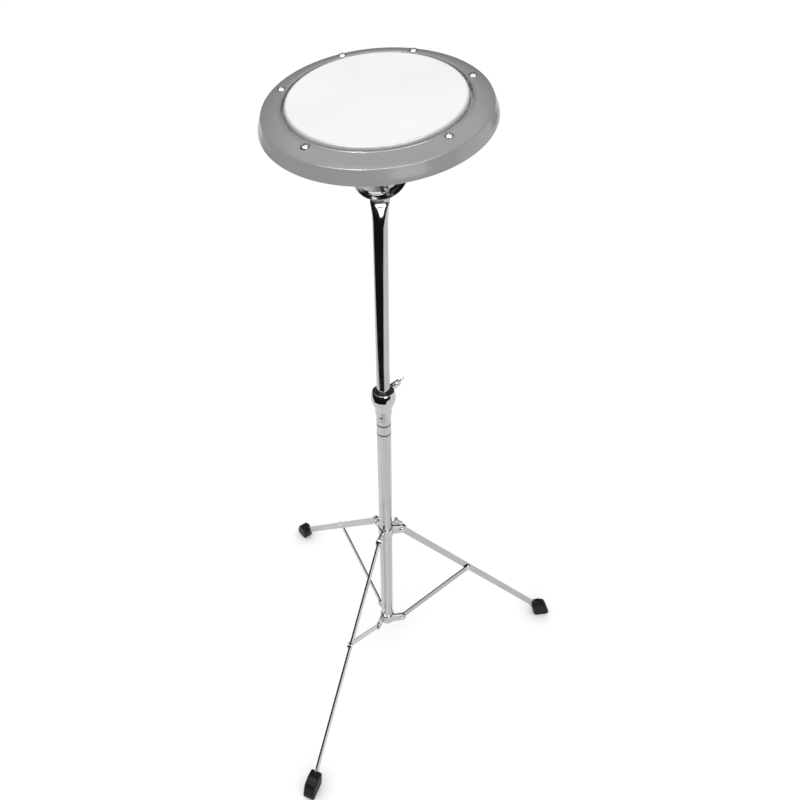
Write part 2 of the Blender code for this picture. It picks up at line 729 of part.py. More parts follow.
def pin(name, azimuth, radius, height, low, high, head, parent, slope=0.0):
    """A pivot bolt or rivet across a leg: low and high are where its head and its end bear."""
    frame = leg_plane(azimuth, radius, height, 0, slope)
    profile = [(0, high + head), (0.0024, high + head), (0.0040, high + head * 0.5), (0.0040, high)]
    profile += [(PIN_R, high), (PIN_R, low), (0.0040, low), (0.0040, low - head * 0.5)]
    profile += [(0.0024, low - head), (0, low - head)]
    obj = adopt(turned(name, profile, frame, STEPS_SMALL), zinc(), parent)
    shade_round(obj)


def leg(index, azimuth, parent):
    """Flat bar on edge, straight to just above the foot and steeper inside it."""
    half = LEG_WIDTH / 2
    frame = leg_plane(azimuth, PIVOT_R, UPPER_PIVOT_HEIGHT)
    slope = Vector((math.cos(LEG_ANGLE), -math.sin(LEG_ANGLE)))
    side = Vector((math.sin(LEG_ANGLE), math.cos(LEG_ANGLE)))
    length = (LEG_STRAIGHT_TO - PIVOT_R) / math.cos(LEG_ANGLE)
    knee = length * slope
    end = Vector((LEG_END[0] - PIVOT_R, LEG_END[1] - UPPER_PIVOT_HEIGHT))
    last = (end - knee).normalized()
    last_side = Vector((-last.y, last.x))
    round_end = circle_points(half, 9, (0, 0), math.pi / 2 - LEG_ANGLE, 3 * math.pi / 2 - LEG_ANGLE)
    mitre = (side + last_side).normalized() * half
    outline = round_end + [tuple(knee - mitre), tuple(end - last_side * half)]
    outline += [tuple(end + last_side * half), tuple(knee + mitre)]
    rivet_place = LINK * slope
    holes = [
        circle_points(PIN_R + GAP, 12),
        circle_points(PIN_R + GAP, 12, tuple(rivet_place)),
    ]
    obj = to_mesh(flat(f"leg_{index}", [outline] + holes, LEG_THICKNESS, frame))
    adopt(obj, chrome(), parent)


def foot(index, azimuth, parent):
    """Rubber boot pushed over the end of a leg."""
    frame = leg_plane(azimuth, FOOT_R, 0)
    back, front = -FOOT_LENGTH / 2, FOOT_LENGTH / 2
    outline = [(back + 0.003, 0), (front - 0.002, 0), (front, 0.004), (front - 0.002, 0.012)]
    outline += [(front - 0.0085, 0.0265), (-0.0060, FOOT_HEIGHT + 0.001), (-0.0190, 0.0290)]
    outline += [(back - 0.0050, 0.0240), (back - 0.0015, 0.006)]
    obj = to_mesh(flat(f"foot_{index}", [outline], FOOT_WIDTH, frame))
    bevelled(obj, 0.0022, 2, 35)
    obj = to_mesh(obj)
    half = LEG_WIDTH / 2 + GAP
    end = Vector((LEG_END[0] - FOOT_R, LEG_END[1]))
    knee = Vector((LEG_STRAIGHT_TO - FOOT_R, UPPER_PIVOT_HEIGHT))
    knee.y -= (LEG_STRAIGHT_TO - PIVOT_R) * math.tan(LEG_ANGLE)
    last = (end - knee).normalized()
    side = Vector((-last.y, last.x))
    before = Vector((math.cos(LEG_ANGLE), -math.sin(LEG_ANGLE)))
    before_side = Vector((math.sin(LEG_ANGLE), math.cos(LEG_ANGLE)))
    mitre = (side + before_side).normalized() * half
    low_end = end + last * GAP
    far = knee - before * 0.03
    slot = [tuple(far - before_side * half), tuple(knee - mitre), tuple(low_end - side * half)]
    slot += [tuple(low_end + side * half), tuple(knee + mitre), tuple(far + before_side * half)]
    cut(obj, flat("slot", [slot], LEG_THICKNESS + 2 * GAP, frame))
    obj = baked(obj)
    adopt(obj, black_rubber(), parent)
    shade_round(obj, 50)


def brace(index, azimuth, parent):
    """Flat bar from the lower collar, cranked near its outer end to lie against the leg."""
    frame = leg_plane(azimuth, PIVOT_R, LOWER_PIVOT_HEIGHT, 0, LEG_ANGLE)
    plan = frame @ Matrix.Rotation(math.pi / 2, 4, "X")
    half = BRACE_THICKNESS / 2
    start, stop = -0.0055, LINK + 0.0065
    bend_a, bend_b = LINK - 0.020, LINK - 0.010
    near, far = -BRACE_ACROSS, -BRACE_END_ACROSS
    outline = [(start, near - half), (bend_a, near - half), (bend_b, far - half)]
    outline += [(stop, far - half), (stop, far + half), (bend_b - 0.0006, far + half)]
    outline += [(bend_a - 0.0006, near + half), (start, near + half)]
    obj = to_mesh(flat(f"brace_{index}", [outline], BRACE_WIDTH, plan))
    for place in (0, LINK):
        hole_frame = frame @ Matrix.Translation((place, 0, 0))
        cut(obj, disc("hole", PIN_R + GAP, 0, 0.015, hole_frame, STEPS_SMALL))
    obj = baked(obj)
    adopt(obj, chrome(), parent)


def tripod(parent):
    """Braces turn on the lower collar, legs on the braces, and the upper collar on the first leg."""
    first_leg = None
    leg_half = LEG_THICKNESS / 2
    brace_half = BRACE_THICKNESS / 2
    for k, azimuth in enumerate(LEG_AZIMUTHS):
        number = k + 1
        brace_turn = leg_plane(azimuth, PIVOT_R, LOWER_PIVOT_HEIGHT)
        brace_body = empty(f"brace_turn_{number}", brace_turn, parent)
        brace(number, azimuth, brace_body)
        joint_r = PIVOT_R + LINK * math.cos(LEG_ANGLE)
        joint_height = LOWER_PIVOT_HEIGHT + LINK * math.sin(LEG_ANGLE)
        leg_turn = leg_plane(azimuth, joint_r, joint_height)
        leg_body = empty(f"leg_turn_{number}", leg_turn, brace_body)
        first_leg = first_leg or leg_body
        leg(number, azimuth, leg_body)
        foot(number, azimuth, leg_body)
        outer = -BRACE_END_ACROSS + brace_half + GAP
        inner = -leg_half - GAP
        pin(f"brace_rivet_{number}", azimuth, joint_r, joint_height, inner, outer, 0.0014, leg_body)
        high = -BRACE_ACROSS + brace_half + 2 * GAP + EAR_THICKNESS
        low = -BRACE_ACROSS - brace_half - 2 * GAP - EAR_THICKNESS
        height = LOWER_PIVOT_HEIGHT
        pin(f"lower_pivot_bolt_{number}", azimuth, PIVOT_R, height, low, high, 0.0012, parent)
    collar("lower_collar", LOWER_PIVOT_HEIGHT, BRACE_ACROSS, brace_half, parent)
    upper_turn = leg_plane(LEG_AZIMUTHS[0], PIVOT_R, UPPER_PIVOT_HEIGHT)
    collar_body = empty("upper_collar_turn", upper_turn, first_leg)
    collar("upper_collar", UPPER_PIVOT_HEIGHT, 0.0, leg_half, collar_body)
    out = leg_half + 2 * GAP + EAR_THICKNESS
    for k, azimuth in enumerate(LEG_AZIMUTHS):
        name = f"leg_pivot_bolt_{k + 1}"
        pin(name, azimuth, PIVOT_R, UPPER_PIVOT_HEIGHT, -out, out, 0.0018, collar_body)
    screw_turn = empty("collar_thumb_screw_turn", collar_screw_frame(), collar_body)
    collar_thumb_screw(screw_turn)


# ---------------------------------------------------------------- assembly


def footprint_shift():
    """How far the object must move for its box to stand centred on the origin."""
    graph = bpy.context.evaluated_depsgraph_get()
    low = Vector((1e9, 1e9, 1e9))
    high = -low
    for obj in bpy.data.collections[COLLECTION].objects:
        if obj.type == "EMPTY":
            continue
        evaluated = obj.evaluated_get(graph)
        for vertex in evaluated.to_mesh().vertices:
            point = obj.matrix_world @ vertex.co
            low = Vector(map(min, low, point))
            high = Vector(map(max, high, point))
        evaluated.to_mesh_clear()
    middle = (low + high) / 2
    return Vector((-middle.x, -middle.y, -low.z))


def main():
    clear_scene()
    stand = empty("stand_origin", Matrix())
    lower_tube(stand)
    screw = height_clamp(stand)
    wing = empty("height_screw_turn", screw, stand)
    height_screw = height_wing_screw(screw)
    height_screw.parent = wing
    height_screw.matrix_parent_inverse = wing.matrix_world.inverted()
    bush = empty("mast_swivel", Matrix(), stand)
    nylon_bush(bush)
    mast = empty("mast_slide", Matrix(), bush)
    upper_tube(mast)
    pivot_bolt(mast)
    straight, leaned = tilt_axes()
    nut = empty("tilt_nut_turn", straight, mast)
    tilt_wing_nut(nut)
    tilter = empty("tilter_turn", leaned, mast)
    tilt_bracket(tilter)
    stud_parts(tilter)
    pad = empty("pad_turn", pad_axes(), tilter)
    pad_base(pad)
    foam_disc(pad)
    drumhead(pad)
    flesh_hoop(pad)
    pad_rim(pad)
    centre_insert(pad)
    anti_slip_ring(pad)
    tension_screws(pad)
    tripod(stand)
    bpy.context.view_layer.update()
    stand.location = footprint_shift()
    bpy.context.view_layer.update()


main()
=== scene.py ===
"""Finer pieces, finishes, light and camera for a practice pad on its folding stand.

Metres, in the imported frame: +Z up, and the player's side is -Y. Places come from the frame's boxes
and joints. Each piece is drawn in the frame of what it belongs to: the mast's axis, the flattened end
of the upper tube, the tilter, the pad's playing surface, or the upright plane of a leg, where X runs
out, Y up and Z across.
"""

import json
import math

import bmesh
import bpy
from mathutils import Matrix, Vector


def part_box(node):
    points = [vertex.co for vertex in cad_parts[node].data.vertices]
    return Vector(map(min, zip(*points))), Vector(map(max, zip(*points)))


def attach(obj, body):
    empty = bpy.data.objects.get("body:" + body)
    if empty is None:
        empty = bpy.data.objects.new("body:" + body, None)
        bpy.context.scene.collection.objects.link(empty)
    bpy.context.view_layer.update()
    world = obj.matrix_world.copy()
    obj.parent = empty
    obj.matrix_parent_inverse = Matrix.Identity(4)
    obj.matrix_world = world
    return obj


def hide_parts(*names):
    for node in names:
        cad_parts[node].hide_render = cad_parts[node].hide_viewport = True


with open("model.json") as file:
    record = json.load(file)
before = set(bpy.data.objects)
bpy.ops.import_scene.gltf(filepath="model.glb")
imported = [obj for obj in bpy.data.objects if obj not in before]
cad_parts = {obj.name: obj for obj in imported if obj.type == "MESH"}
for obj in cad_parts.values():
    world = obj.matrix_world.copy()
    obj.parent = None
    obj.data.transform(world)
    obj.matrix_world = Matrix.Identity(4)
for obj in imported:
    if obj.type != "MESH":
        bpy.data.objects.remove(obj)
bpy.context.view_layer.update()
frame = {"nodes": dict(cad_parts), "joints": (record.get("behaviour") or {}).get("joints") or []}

UP = Vector((0, 0, 1))
MM = 0.001
ROUND_STEPS = 96
PAD_STEPS = 180
SMALL_STEPS = 40
SCREW_COUNT = 6
LEG_COUNT = 3

# ---------------------------------------------------------------- frames of the object's parts

JOINTS = {joint["name"]: joint for joint in frame["joints"]}


def axis_of(joint):
    return Vector(JOINTS[joint]["axis"]).normalized()


def place_of(joint):
    return Vector(JOINTS[joint]["pos_m"])


def columns(origin, x, y, z):
    """The matrix of a frame with these three directions at this origin."""
    matrix = Matrix((x, y, z)).transposed().to_4x4()
    matrix.translation = origin
    return matrix


def moved(matrix, x=0.0, y=0.0, z=0.0):
    return matrix @ Matrix.Translation((x, y, z))


def turned_by(matrix, degrees, axis):
    return matrix @ Matrix.Rotation(math.radians(degrees), 4, axis)


def middle(node):
    low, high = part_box(node)
    return (low + high) / 2


mast_middle = middle("lower_tube")
MAST = Matrix.Translation((mast_middle.x, mast_middle.y, 0))

forward = axis_of("pad_tilt")  # the way the pivot bolt's head faces
pad_up = axis_of("pad_turn")
tube_rise = (UP - UP.dot(forward) * forward).normalized()
FLAT_END = columns(place_of("pad_tilt"), tube_rise.cross(forward), tube_rise, forward)
TILTER = columns(place_of("pad_tilt"), pad_up.cross(forward), pad_up, forward)
PAD = columns(place_of("pad_turn"), pad_up.cross(forward), -forward, pad_up)


def screw_frame_of(joint):
    """A frame at a screw's joint, with Z along the screw."""
    matrix = axis_of(joint).to_track_quat("Z", "Y").to_matrix().to_4x4()
    matrix.translation = place_of(joint)
    return matrix


FOLDS = ("leg_fold", "brace_2_fold", "brace_3_fold")


def leg_plane(k):
    across = axis_of(FOLDS[k])
    return columns(MAST.translation, UP.cross(across), UP, across)


def in_plane(k, joint):
    """A joint's place in the plane of leg k: (out, up)."""
    place = leg_plane(k).inverted() @ place_of(joint)
    return Vector((place.x, place.y))


BRACE_PIVOT = in_plane(0, "leg_fold")
LEG_PIVOT = in_plane(0, "collar_lift")
KNEE = in_plane(0, "leg_1_fold")  # where a brace meets its leg

# ---------------------------------------------------------------- drawing helpers


def in_mm(corners, raised=0.0):
    """Corners (x, y) or (x, y, cut) given in millimetres, in metres, with raised added to y."""
    return [(x * MM, raised + y * MM, *(c * MM for c in cut_by)) for x, y, *cut_by in corners]


def rounded(corners, closed=True, steps=4):
    """An outline whose corners (x, y, cut) are rounded off over that length; without it they stay."""
    result = []
    for k, corner in enumerate(corners):
        here = Vector(corner[:2])
        at_end = not closed and k in (0, len(corners) - 1)
        if len(corner) < 3 or at_end:
            result.append(here)
            continue
        back = Vector(corners[k - 1][:2]) - here
        ahead = Vector(corners[(k + 1) % len(corners)][:2]) - here
        first = here + back.normalized() * min(corner[2], back.length * 0.48)
        last = here + ahead.normalized() * min(corner[2], ahead.length * 0.48)
        for step in range(steps + 1):
            t = step / steps
            result.append((1 - t) ** 2 * first + 2 * t * (1 - t) * here + t * t * last)
    return result


def arc(radius, start, stop, count, centre=(0, 0)):
    """Points on a circle from one angle to another, in degrees, with both ends."""
    angles = [math.radians(start + (stop - start) * k / (count - 1)) for k in range(count)]
    cx, cy = centre
    return [Vector((cx + radius * math.cos(a), cy + radius * math.sin(a))) for a in angles]


def ring(radius, count):
    return arc(radius, 0, 360 * (count - 1) / count, count)


def new_object(name, work, matrix):
    """A mesh object from a bmesh, with its faces outward."""
    bmesh.ops.remove_doubles(work, verts=work.verts, dist=1e-7)
    bmesh.ops.recalc_face_normals(work, faces=work.faces)
    mesh = bpy.data.meshes.new(name)
    work.to_mesh(mesh)
    work.free()
    obj = bpy.data.objects.new(name, mesh)
    bpy.context.scene.collection.objects.link(obj)
    obj.matrix_world = matrix
    bpy.context.view_layer.update()
    return obj


def lathe(name, profile, matrix, steps=ROUND_STEPS):
    """A closed (radius, height) outline turned round Z. A point on the axis becomes one vertex."""
    work = bmesh.new()
    circles = []
    for radius, height in profile:
        if radius < 1e-7:
            circles.append([work.verts.new((0, 0, height))] * steps)
            continue
        circles.append([work.verts.new((p.x, p.y, height)) for p in ring(radius, steps)])
    for one, other in zip(circles, circles[1:] + circles[:1]):
        for k in range(steps):
            after = (k + 1) % steps
            corners = dict.fromkeys((one[k], one[after], other[after], other[k]))
            if len(corners) > 2:
                work.faces.new(list(corners))
    return new_object(name, work, matrix)


def loft(name, rings, matrix):
    """Skin over rings of equally many points, with a face at each end."""
    work = bmesh.new()
    rows = [[work.verts.new(point) for point in points] for points in rings]
    for one, other in zip(rows, rows[1:]):
        for k in range(len(one)):
            after = (k + 1) % len(one)
            work.faces.new((one[k], one[after], other[after], other[k]))
    work.faces.new(rows[0])
    work.faces.new(rows[-1])
    return new_object(name, work, matrix)


def plate(name, outline, thickness, matrix, edge=0.3 * MM, holes=()):
    """A plate centred on Z = 0 with rounded edges, inside its outline."""
    curve = bpy.data.curves.new(name, "CURVE")
    curve.dimensions = "2D"
    curve.fill_mode = "BOTH"
    curve.extrude = thickness / 2 - edge
    curve.bevel_depth = edge
    curve.bevel_resolution = 2
    curve.offset = -edge
    for points in (outline, *holes):
        spline = curve.splines.new("POLY")
        spline.points.add(len(points) - 1)
        for target, point in zip(spline.points, points):
            target.co = (point[0], point[1], 0, 1)
        spline.use_cyclic_u = True
    source = bpy.data.objects.new(name + "_curve", curve)
    bpy.context.scene.collection.objects.link(source)
    graph = bpy.context.evaluated_depsgraph_get()
    work = bmesh.new()
    work.from_mesh(source.evaluated_get(graph).to_mesh())
    bmesh.ops.remove_doubles(work, verts=work.verts, dist=1e-6)
    bpy.data.objects.remove(source)
    return new_object(name, work, matrix)


def ribbon(name, path, heights, thickness, matrix, edge=0.3 * MM):
    """Sheet metal that stands on edge along a plan path, with its half height at each point."""
    rings = []
    for k, (here, height) in enumerate(zip(path, heights)):
        ahead = path[min(k + 1, len(path) - 1)] - path[max(k - 1, 0)]
        side = Vector((-ahead.y, ahead.x)).normalized() * thickness / 2
        inner = side * (1 - 2 * edge / thickness)
        low = max(height - edge, 0)
        corners = [(side, low), (inner, height), (-inner, height), (-side, low)]
        corners += [(-s, -h) for s, h in corners]
        rings.append([(here.x + s.x, here.y + s.y, h) for s, h in corners])
    return loft(name, rings, matrix)


def boolean(obj, other, operation):
    """Joins another object to this one, or cuts it out, and removes it."""
    modifier = obj.modifiers.new("boolean", "BOOLEAN")
    modifier.operation = operation
    modifier.solver = "EXACT"
    modifier.object = other
    graph = bpy.context.evaluated_depsgraph_get()
    mesh = bpy.data.meshes.new_from_object(obj.evaluated_get(graph))
    obj.modifiers.clear()
    obj.data = mesh
    bpy.data.objects.remove(other)


def union(obj, other):
    boolean(obj, other, "UNION")


def cut(obj, other):
    boolean(obj, other, "DIFFERENCE")


def dress(obj, look, body, slot, *nodes, sharp=32, weighted=True):
    """Gives a piece its finish and its body, and hides the CAD nodes it stands for.

    Edges steeper than sharp, in degrees, stay crisp. A piece whose cuts leave long thin faces isn't
    weighted, because the weighting would show round the cuts. The slot is not used.
    """
    obj.data.materials.clear()
    obj.data.materials.append(look)
    obj.data.shade_smooth()
    obj.data.set_sharp_from_angle(angle=math.radians(sharp))
    if weighted:
        obj.modifiers.new("flat_faces", "WEIGHTED_NORMAL").keep_sharp = True
    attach(obj, body)
    if nodes:
        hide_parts(*nodes)


# ---------------------------------------------------------------- finishes


class Look:
    """A Principled material whose patterns come from the object's own coordinates."""

    def __init__(self, name, metallic=0.0, coat=0.0, specular=0.5):
        self.material = bpy.data.materials.new(name)
        self.material.use_nodes = True
        self.tree = self.material.node_tree
        self.shader = self.tree.nodes["Principled BSDF"]
        self.shader.inputs["Metallic"].default_value = metallic
        self.shader.inputs["Coat Weight"].default_value = coat
        self.shader.inputs["Specular IOR Level"].default_value = specular
        self.place = self.tree.nodes.new("ShaderNodeTexCoord").outputs["Object"]
        self.heights = None

    def add(self, kind, inputs, **settings):
        made = self.tree.nodes.new(kind)
        for key, value in settings.items():
            setattr(made, key, value)
        for key, value in inputs.items():
            if isinstance(value, bpy.types.NodeSocket):
                self.tree.links.new(value, made.inputs[key])
            else:
                made.inputs[key].default_value = value
        return made

    def noise(self, scale, detail=4.0, stretch=(1, 1, 1)):
        mapping = self.add("ShaderNodeMapping", {"Vector": self.place, "Scale": stretch})
        inputs = {"Vector": mapping.outputs[0], "Scale": scale, "Detail": detail}
        return self.add("ShaderNodeTexNoise", inputs).outputs["Fac"]

    def math(self, operation, one, other=0.0, third=0.0):
        inputs = {0: one, 1: other, 2: third}
        return self.add("ShaderNodeMath", inputs, operation=operation).outputs[0]

    def spread(self, value, low, high, start=0.3, stop=0.7):
        """Maps a pattern's usual range to low .. high."""
        inputs = {"Value": value, 1: start, 2: stop, 3: low, 4: high}
        return self.add("ShaderNodeMapRange", inputs).outputs[0]

    def blend(self, share, one, other):
        mix = self.add("ShaderNodeMix", {0: share}, data_type="RGBA")
        for index, value in ((6, one), (7, other)):
            if isinstance(value, bpy.types.NodeSocket):
                self.tree.links.new(value, mix.inputs[index])
            else:
                mix.inputs[index].default_value = (*value, 1)
        return mix.outputs[2]

    def color(self, value):
        self.tree.links.new(value, self.shader.inputs["Base Color"])

    def roughness(self, value):
        self.tree.links.new(value, self.shader.inputs["Roughness"])

    def bump(self, height, distance):
        """Adds relief; a second call lies on top of the first."""
        inputs = {"Height": height, "Distance": distance, "Strength": 1.0}
        if self.heights:
            inputs["Normal"] = self.heights
        self.heights = self.add("ShaderNodeBump", inputs).outputs[0]
        self.tree.links.new(self.heights, self.shader.inputs["Normal"])


def plated(name, along=(1, 1, 1), tone=0.55, smooth=0.05):
    """Chrome plate: bright, with faint drawing lines along the bar or tube, and clouded spots."""
    look = Look(name, metallic=1.0)
    lines = look.noise(900, 3, along)
    clouds = look.noise(45, 3)
    pale = (tone * 1.03, tone * 1.035, tone * 1.03)
    dark = (tone * 0.95, tone * 0.957, tone * 0.965)
    look.color(look.blend(look.spread(clouds, 0, 1), dark, pale))
    wear = look.math("MULTIPLY_ADD", look.spread(lines, 0, 0.05), 1.0, smooth)
    look.roughness(look.math("ADD", wear, look.spread(clouds, 0, 0.05)))
    look.bump(lines, 0.004 * MM)
    return look


def moulded(name, color, rough, grain=0.012 * MM, vary=0.06, specular=0.5):
    """Moulded plastic or rubber: fine grain, slightly uneven colour and gloss."""
    look = Look(name, specular=specular)
    skin = look.noise(2600, 2)
    clouds = look.noise(28, 4)
    pale = tuple(c * (1 + vary) for c in color)
    dark = tuple(c * (1 - vary) for c in color)
    look.color(look.blend(look.spread(clouds, 0, 1), dark, pale))
    look.roughness(look.math("ADD", look.spread(clouds, rough - 0.05, rough), look.spread(skin, 0, 0.08)))
    look.bump(skin, grain)
    return look


def tube_with_rings(heights, half_width):
    """The lower tube's chrome, with painted reflection in its colour: darker and lighter bands that run along
    the tube. Two plain printed rings go round it.
    """
    look = plated("chrome_lower_tube", along=(1, 1, 0.02), tone=0.475)
    # painted reflection: bands along the tube that darken and lighten the chrome's colour
    painted_reflection_bands = look.spread(look.noise(350, 2, (1, 1, 0.01)), 0.78, 1.14)
    bright = look.shader.inputs["Base Color"].links[0].from_socket
    even = look.blend(1.0, (0, 0, 0), bright)
    banded_with_painted_reflection = look.add("ShaderNodeVectorMath", {0: even, 1: painted_reflection_bands}, operation="MULTIPLY").outputs[0]
    level = look.add("ShaderNodeSeparateXYZ", {0: look.place}).outputs["Z"]
    marks = [look.math("COMPARE", level, height, half_width) for height in heights]
    ink = look.math("MAXIMUM", marks[0], marks[1])
    look.color(look.blend(ink, banded_with_painted_reflection, (0.012, 0.012, 0.013)))
    gloss = look.shader.inputs["Roughness"].links[0].from_socket
    look.roughness(look.math("MAXIMUM", gloss, look.math("MULTIPLY", ink, 0.35)))
    bare = look.math("SUBTRACT", 1.0, ink)
    look.tree.links.new(bare, look.shader.inputs["Metallic"])
    return look


def coated_film(coat_radius):
    """White sprayed coating, which fades out before the film turns down. The clear edge is gray."""
    look = Look("coated_film")
    flat = look.add("ShaderNodeVectorMath", {0: look.place, 1: (1, 1, 0)}, operation="MULTIPLY")
    length = look.add("ShaderNodeVectorMath", {0: flat.outputs[0]}, operation="LENGTH")
    radius = length.outputs["Value"]
    speckle = look.noise(1500, 3)
    clouds = look.noise(9, 3)
    ragged = look.math("MULTIPLY_ADD", look.noise(420, 3), 1.6 * MM, radius)
    fade = look.spread(ragged, 1, 0, coat_radius - 1.6 * MM, coat_radius + 1.8 * MM)
    white = look.blend(look.spread(clouds, 0, 1), (0.70, 0.708, 0.703), (0.752, 0.76, 0.755))
    white = look.blend(look.spread(speckle, 0, 0.3), white, (0.67, 0.676, 0.67))
    look.color(look.blend(fade, (0.42, 0.422, 0.425), white))
    look.roughness(look.spread(fade, 0.22, 0.62, 0, 1))
    look.bump(look.math("MULTIPLY", speckle, fade), 0.03 * MM)
    return look


def foam_look():
    look = Look("damping_foam")
    cells = look.add("ShaderNodeTexVoronoi", {"Vector": look.place, "Scale": 900.0}).outputs[0]
    look.color(look.blend(look.spread(cells, 0, 1, 0.1, 0.6), (0.05, 0.05, 0.055), (0.14, 0.14, 0.15)))
    look.roughness(look.spread(cells, 0.8, 0.95, 0.1, 0.6))
    look.bump(cells, 0.3 * MM)
    return look


def brass_look():
    look = Look("brass", metallic=1.0)
    clouds = look.noise(300, 3)
    look.color(look.blend(look.spread(clouds, 0, 1), (0.5, 0.36, 0.15), (0.66, 0.5, 0.24)))
    look.roughness(look.spread(clouds, 0.25, 0.42))
    look.bump(clouds, 0.01 * MM)
    return look


CHROME = plated("chrome_pressings", tone=0.5).material
CHROME_TUBE = plated("chrome_upper_tube", along=(1, 1, 0.02), tone=0.44).material
CHROME_BAR = plated("chrome_bars", along=(0.02, 1, 1), tone=0.44, smooth=0.07).material
ZINC = plated("zinc_fasteners", tone=0.6, smooth=0.16).material
GRAY = moulded("gray_plastic", (0.24, 0.24, 0.242), 0.2, grain=0.004 * MM, vary=0.02).material
BLACK_PLASTIC = moulded("base_plastic", (0.035, 0.035, 0.037), 0.42).material
NYLON = moulded("black_nylon", (0.014, 0.014, 0.015), 0.38).material
RUBBER = moulded("black_rubber", (0.006, 0.006, 0.006), 0.46, 0.03 * MM, 0.2, specular=0.12).material
FOAM = foam_look().material
BRASS = brass_look().material

# ---------------------------------------------------------------- camera, light and floor

CAMERA_PLACE = Vector((0, -0.7303, 1.1459))  # from the mast's foot
CAMERA_TURNS = (37.63, 1.889, 0.11)  # degrees: looking down, to the right, and rolled
CAMERA_LENS = 28.59
FLOOR_REACH = 40.0


def add_camera():
    """Stands in front of the mast, above the pad, and looks down at the stand."""
    pitch, yaw, roll = (math.radians(turn) for turn in CAMERA_TURNS)
    level = Vector((math.sin(yaw), math.cos(yaw), 0))
    ahead = math.cos(pitch) * level - math.sin(pitch) * UP
    right = ahead.cross(UP).normalized()
    right = math.cos(roll) * right + math.sin(roll) * right.cross(ahead)
    data = bpy.data.cameras.new("camera")
    data.sensor_width = 36
    data.lens = CAMERA_LENS
    data.clip_start = 0.01
    camera = bpy.data.objects.new("camera", data)
    bpy.context.scene.collection.objects.link(camera)
    place = MAST.translation + CAMERA_PLACE
    camera.matrix_world = columns(place, right, (-ahead).cross(right), -ahead)
    bpy.context.scene.camera = camera


def sheet(name, corners, look):
    """A flat piece of the studio."""
    mesh = bpy.data.meshes.new(name)
    mesh.from_pydata(corners, [], [range(len(corners))])
    mesh.materials.append(look)
    obj = bpy.data.objects.new(name, mesh)
    bpy.context.scene.collection.objects.link(obj)
    return obj


def floor_look():
    look = Look("pale_floor", specular=0.0)
    soft = look.noise(1.5, 2)
    look.color(look.blend(look.spread(soft, 0, 1), (0.94, 0.94, 0.94), (0.946, 0.946, 0.946)))
    look.roughness(look.spread(soft, 0.9, 1.0))
    return look.material


def glow(name, strength):
    made = bpy.data.materials.new(name)
    made.use_nodes = True
    made.node_tree.nodes.clear()
    out = made.node_tree.nodes.new("ShaderNodeOutputMaterial")
    light = made.node_tree.nodes.new("ShaderNodeEmission")
    light.inputs["Color"].default_value = (1, 1, 1, 1)
    light.inputs["Strength"].default_value = strength
    made.node_tree.links.new(light.outputs[0], out.inputs["Surface"])
    return made


def reflected_only(obj):
    """A card that the plated parts mirror, and nothing else sees."""
    obj.visible_camera = False
    obj.visible_diffuse = False
    obj.visible_transmission = False
    obj.visible_shadow = False


def card(name, centre, aim, width, height, strength):
    """A bright card that faces a point, level along its width."""
    facing = (aim - centre).normalized()
    along = UP.cross(facing).normalized() * width / 2
    rise = facing.cross(along).normalized() * height / 2
    corners = [centre - along - rise, centre + along - rise, centre + along + rise, centre - along + rise]
    reflected_only(sheet(name, corners, glow(name + "_glow", strength)))


def add_cards():
    """What the glossy parts mirror: a black flag on the floor, with an opening that the half-moon sees,
    a card at the right, a softbox at the right front, and over the pad a bright strip and a spot."""
    outline = [(-0.80, -0.30), (-0.45, -0.60), (0, -0.72), (0.36, -0.66), (0.36, -0.82)]
    outline += [(0.325, -0.82), (0.325, -0.757), (0.27, -0.757), (0.27, -0.88), (0.28, -0.9)]
    outline += [(0.5, -1.05), (0.9, -1.3), (6, -1.6), (39, -1.6)]
    outline += [(39, -39), (-39, -39), (-39, 8), (-6, 7.1), (-1.5, 0.55)]
    mast = MAST.translation
    corners = [mast + Vector((x, y, 2 * MM)) for x, y in outline]
    reflected_only(sheet("black_flag", corners, glow("black_card", 0.012)))
    cards = (  # name, place, height it faces, width, height, strength
        ("side_card", (1.7, 0.1, 0.75), 0.75, 1.6, 1.1, 1.25),
        ("front_softbox", (0.612, -1.513, 1.58), 0.87, 1.0, 1.55, 3),
        ("front_strip", (-0.1, -0.8, 2.35), 1, 2.6, 0.3, 20),
        ("front_spot", (-0.5, -0.75, 2.2), 1, 0.25, 0.25, 90),
    )
    for name, place, faces, width, height, strength in cards:
        card(name, mast + Vector(place), mast + UP * faces, width, height, strength)


def add_world():
    """Even pale surroundings for all but mirror rays, which see a dark room under a bright ceiling."""
    world = bpy.data.worlds.new("studio")
    bpy.context.scene.world = world
    world.use_nodes = True
    tree = world.node_tree
    even = tree.nodes["Background"]
    even.inputs["Color"].default_value = (1, 1, 1, 1)
    even.inputs["Strength"].default_value = 1.07
    room = tree.nodes.new("ShaderNodeBackground")
    place = tree.nodes.new("ShaderNodeTexCoord")
    split = tree.nodes.new("ShaderNodeSeparateXYZ")
    ramp = tree.nodes.new("ShaderNodeValToRGB")
    tree.links.new(place.outputs["Generated"], split.inputs[0])
    tree.links.new(split.outputs["Z"], ramp.inputs[0])
    tree.links.new(ramp.outputs[0], room.inputs["Color"])
    stops = [(0.0, 0.03), (0.08, 0.02), (0.58, 0.02), (0.7, 0.3), (0.8, 1.0)]
    for position, value in stops:
        stop = ramp.color_ramp.elements.new(position)
        stop.color = (value, value, value, 1)
    for spare in (ramp.color_ramp.elements[0], ramp.color_ramp.elements[-1]):
        spare.color = (0.03, 0.03, 0.03, 1) if spare.position < 0.5 else (1, 1, 1, 1)
    room.inputs["Strength"].default_value = 1.35
    rays = tree.nodes.new("ShaderNodeLightPath")
    mix = tree.nodes.new("ShaderNodeMixShader")
    tree.links.new(rays.outputs["Is Glossy Ray"], mix.inputs[0])
    tree.links.new(even.outputs[0], mix.inputs[1])
    tree.links.new(room.outputs[0], mix.inputs[2])
    tree.links.new(mix.outputs[0], tree.nodes["World Output"].inputs["Surface"])


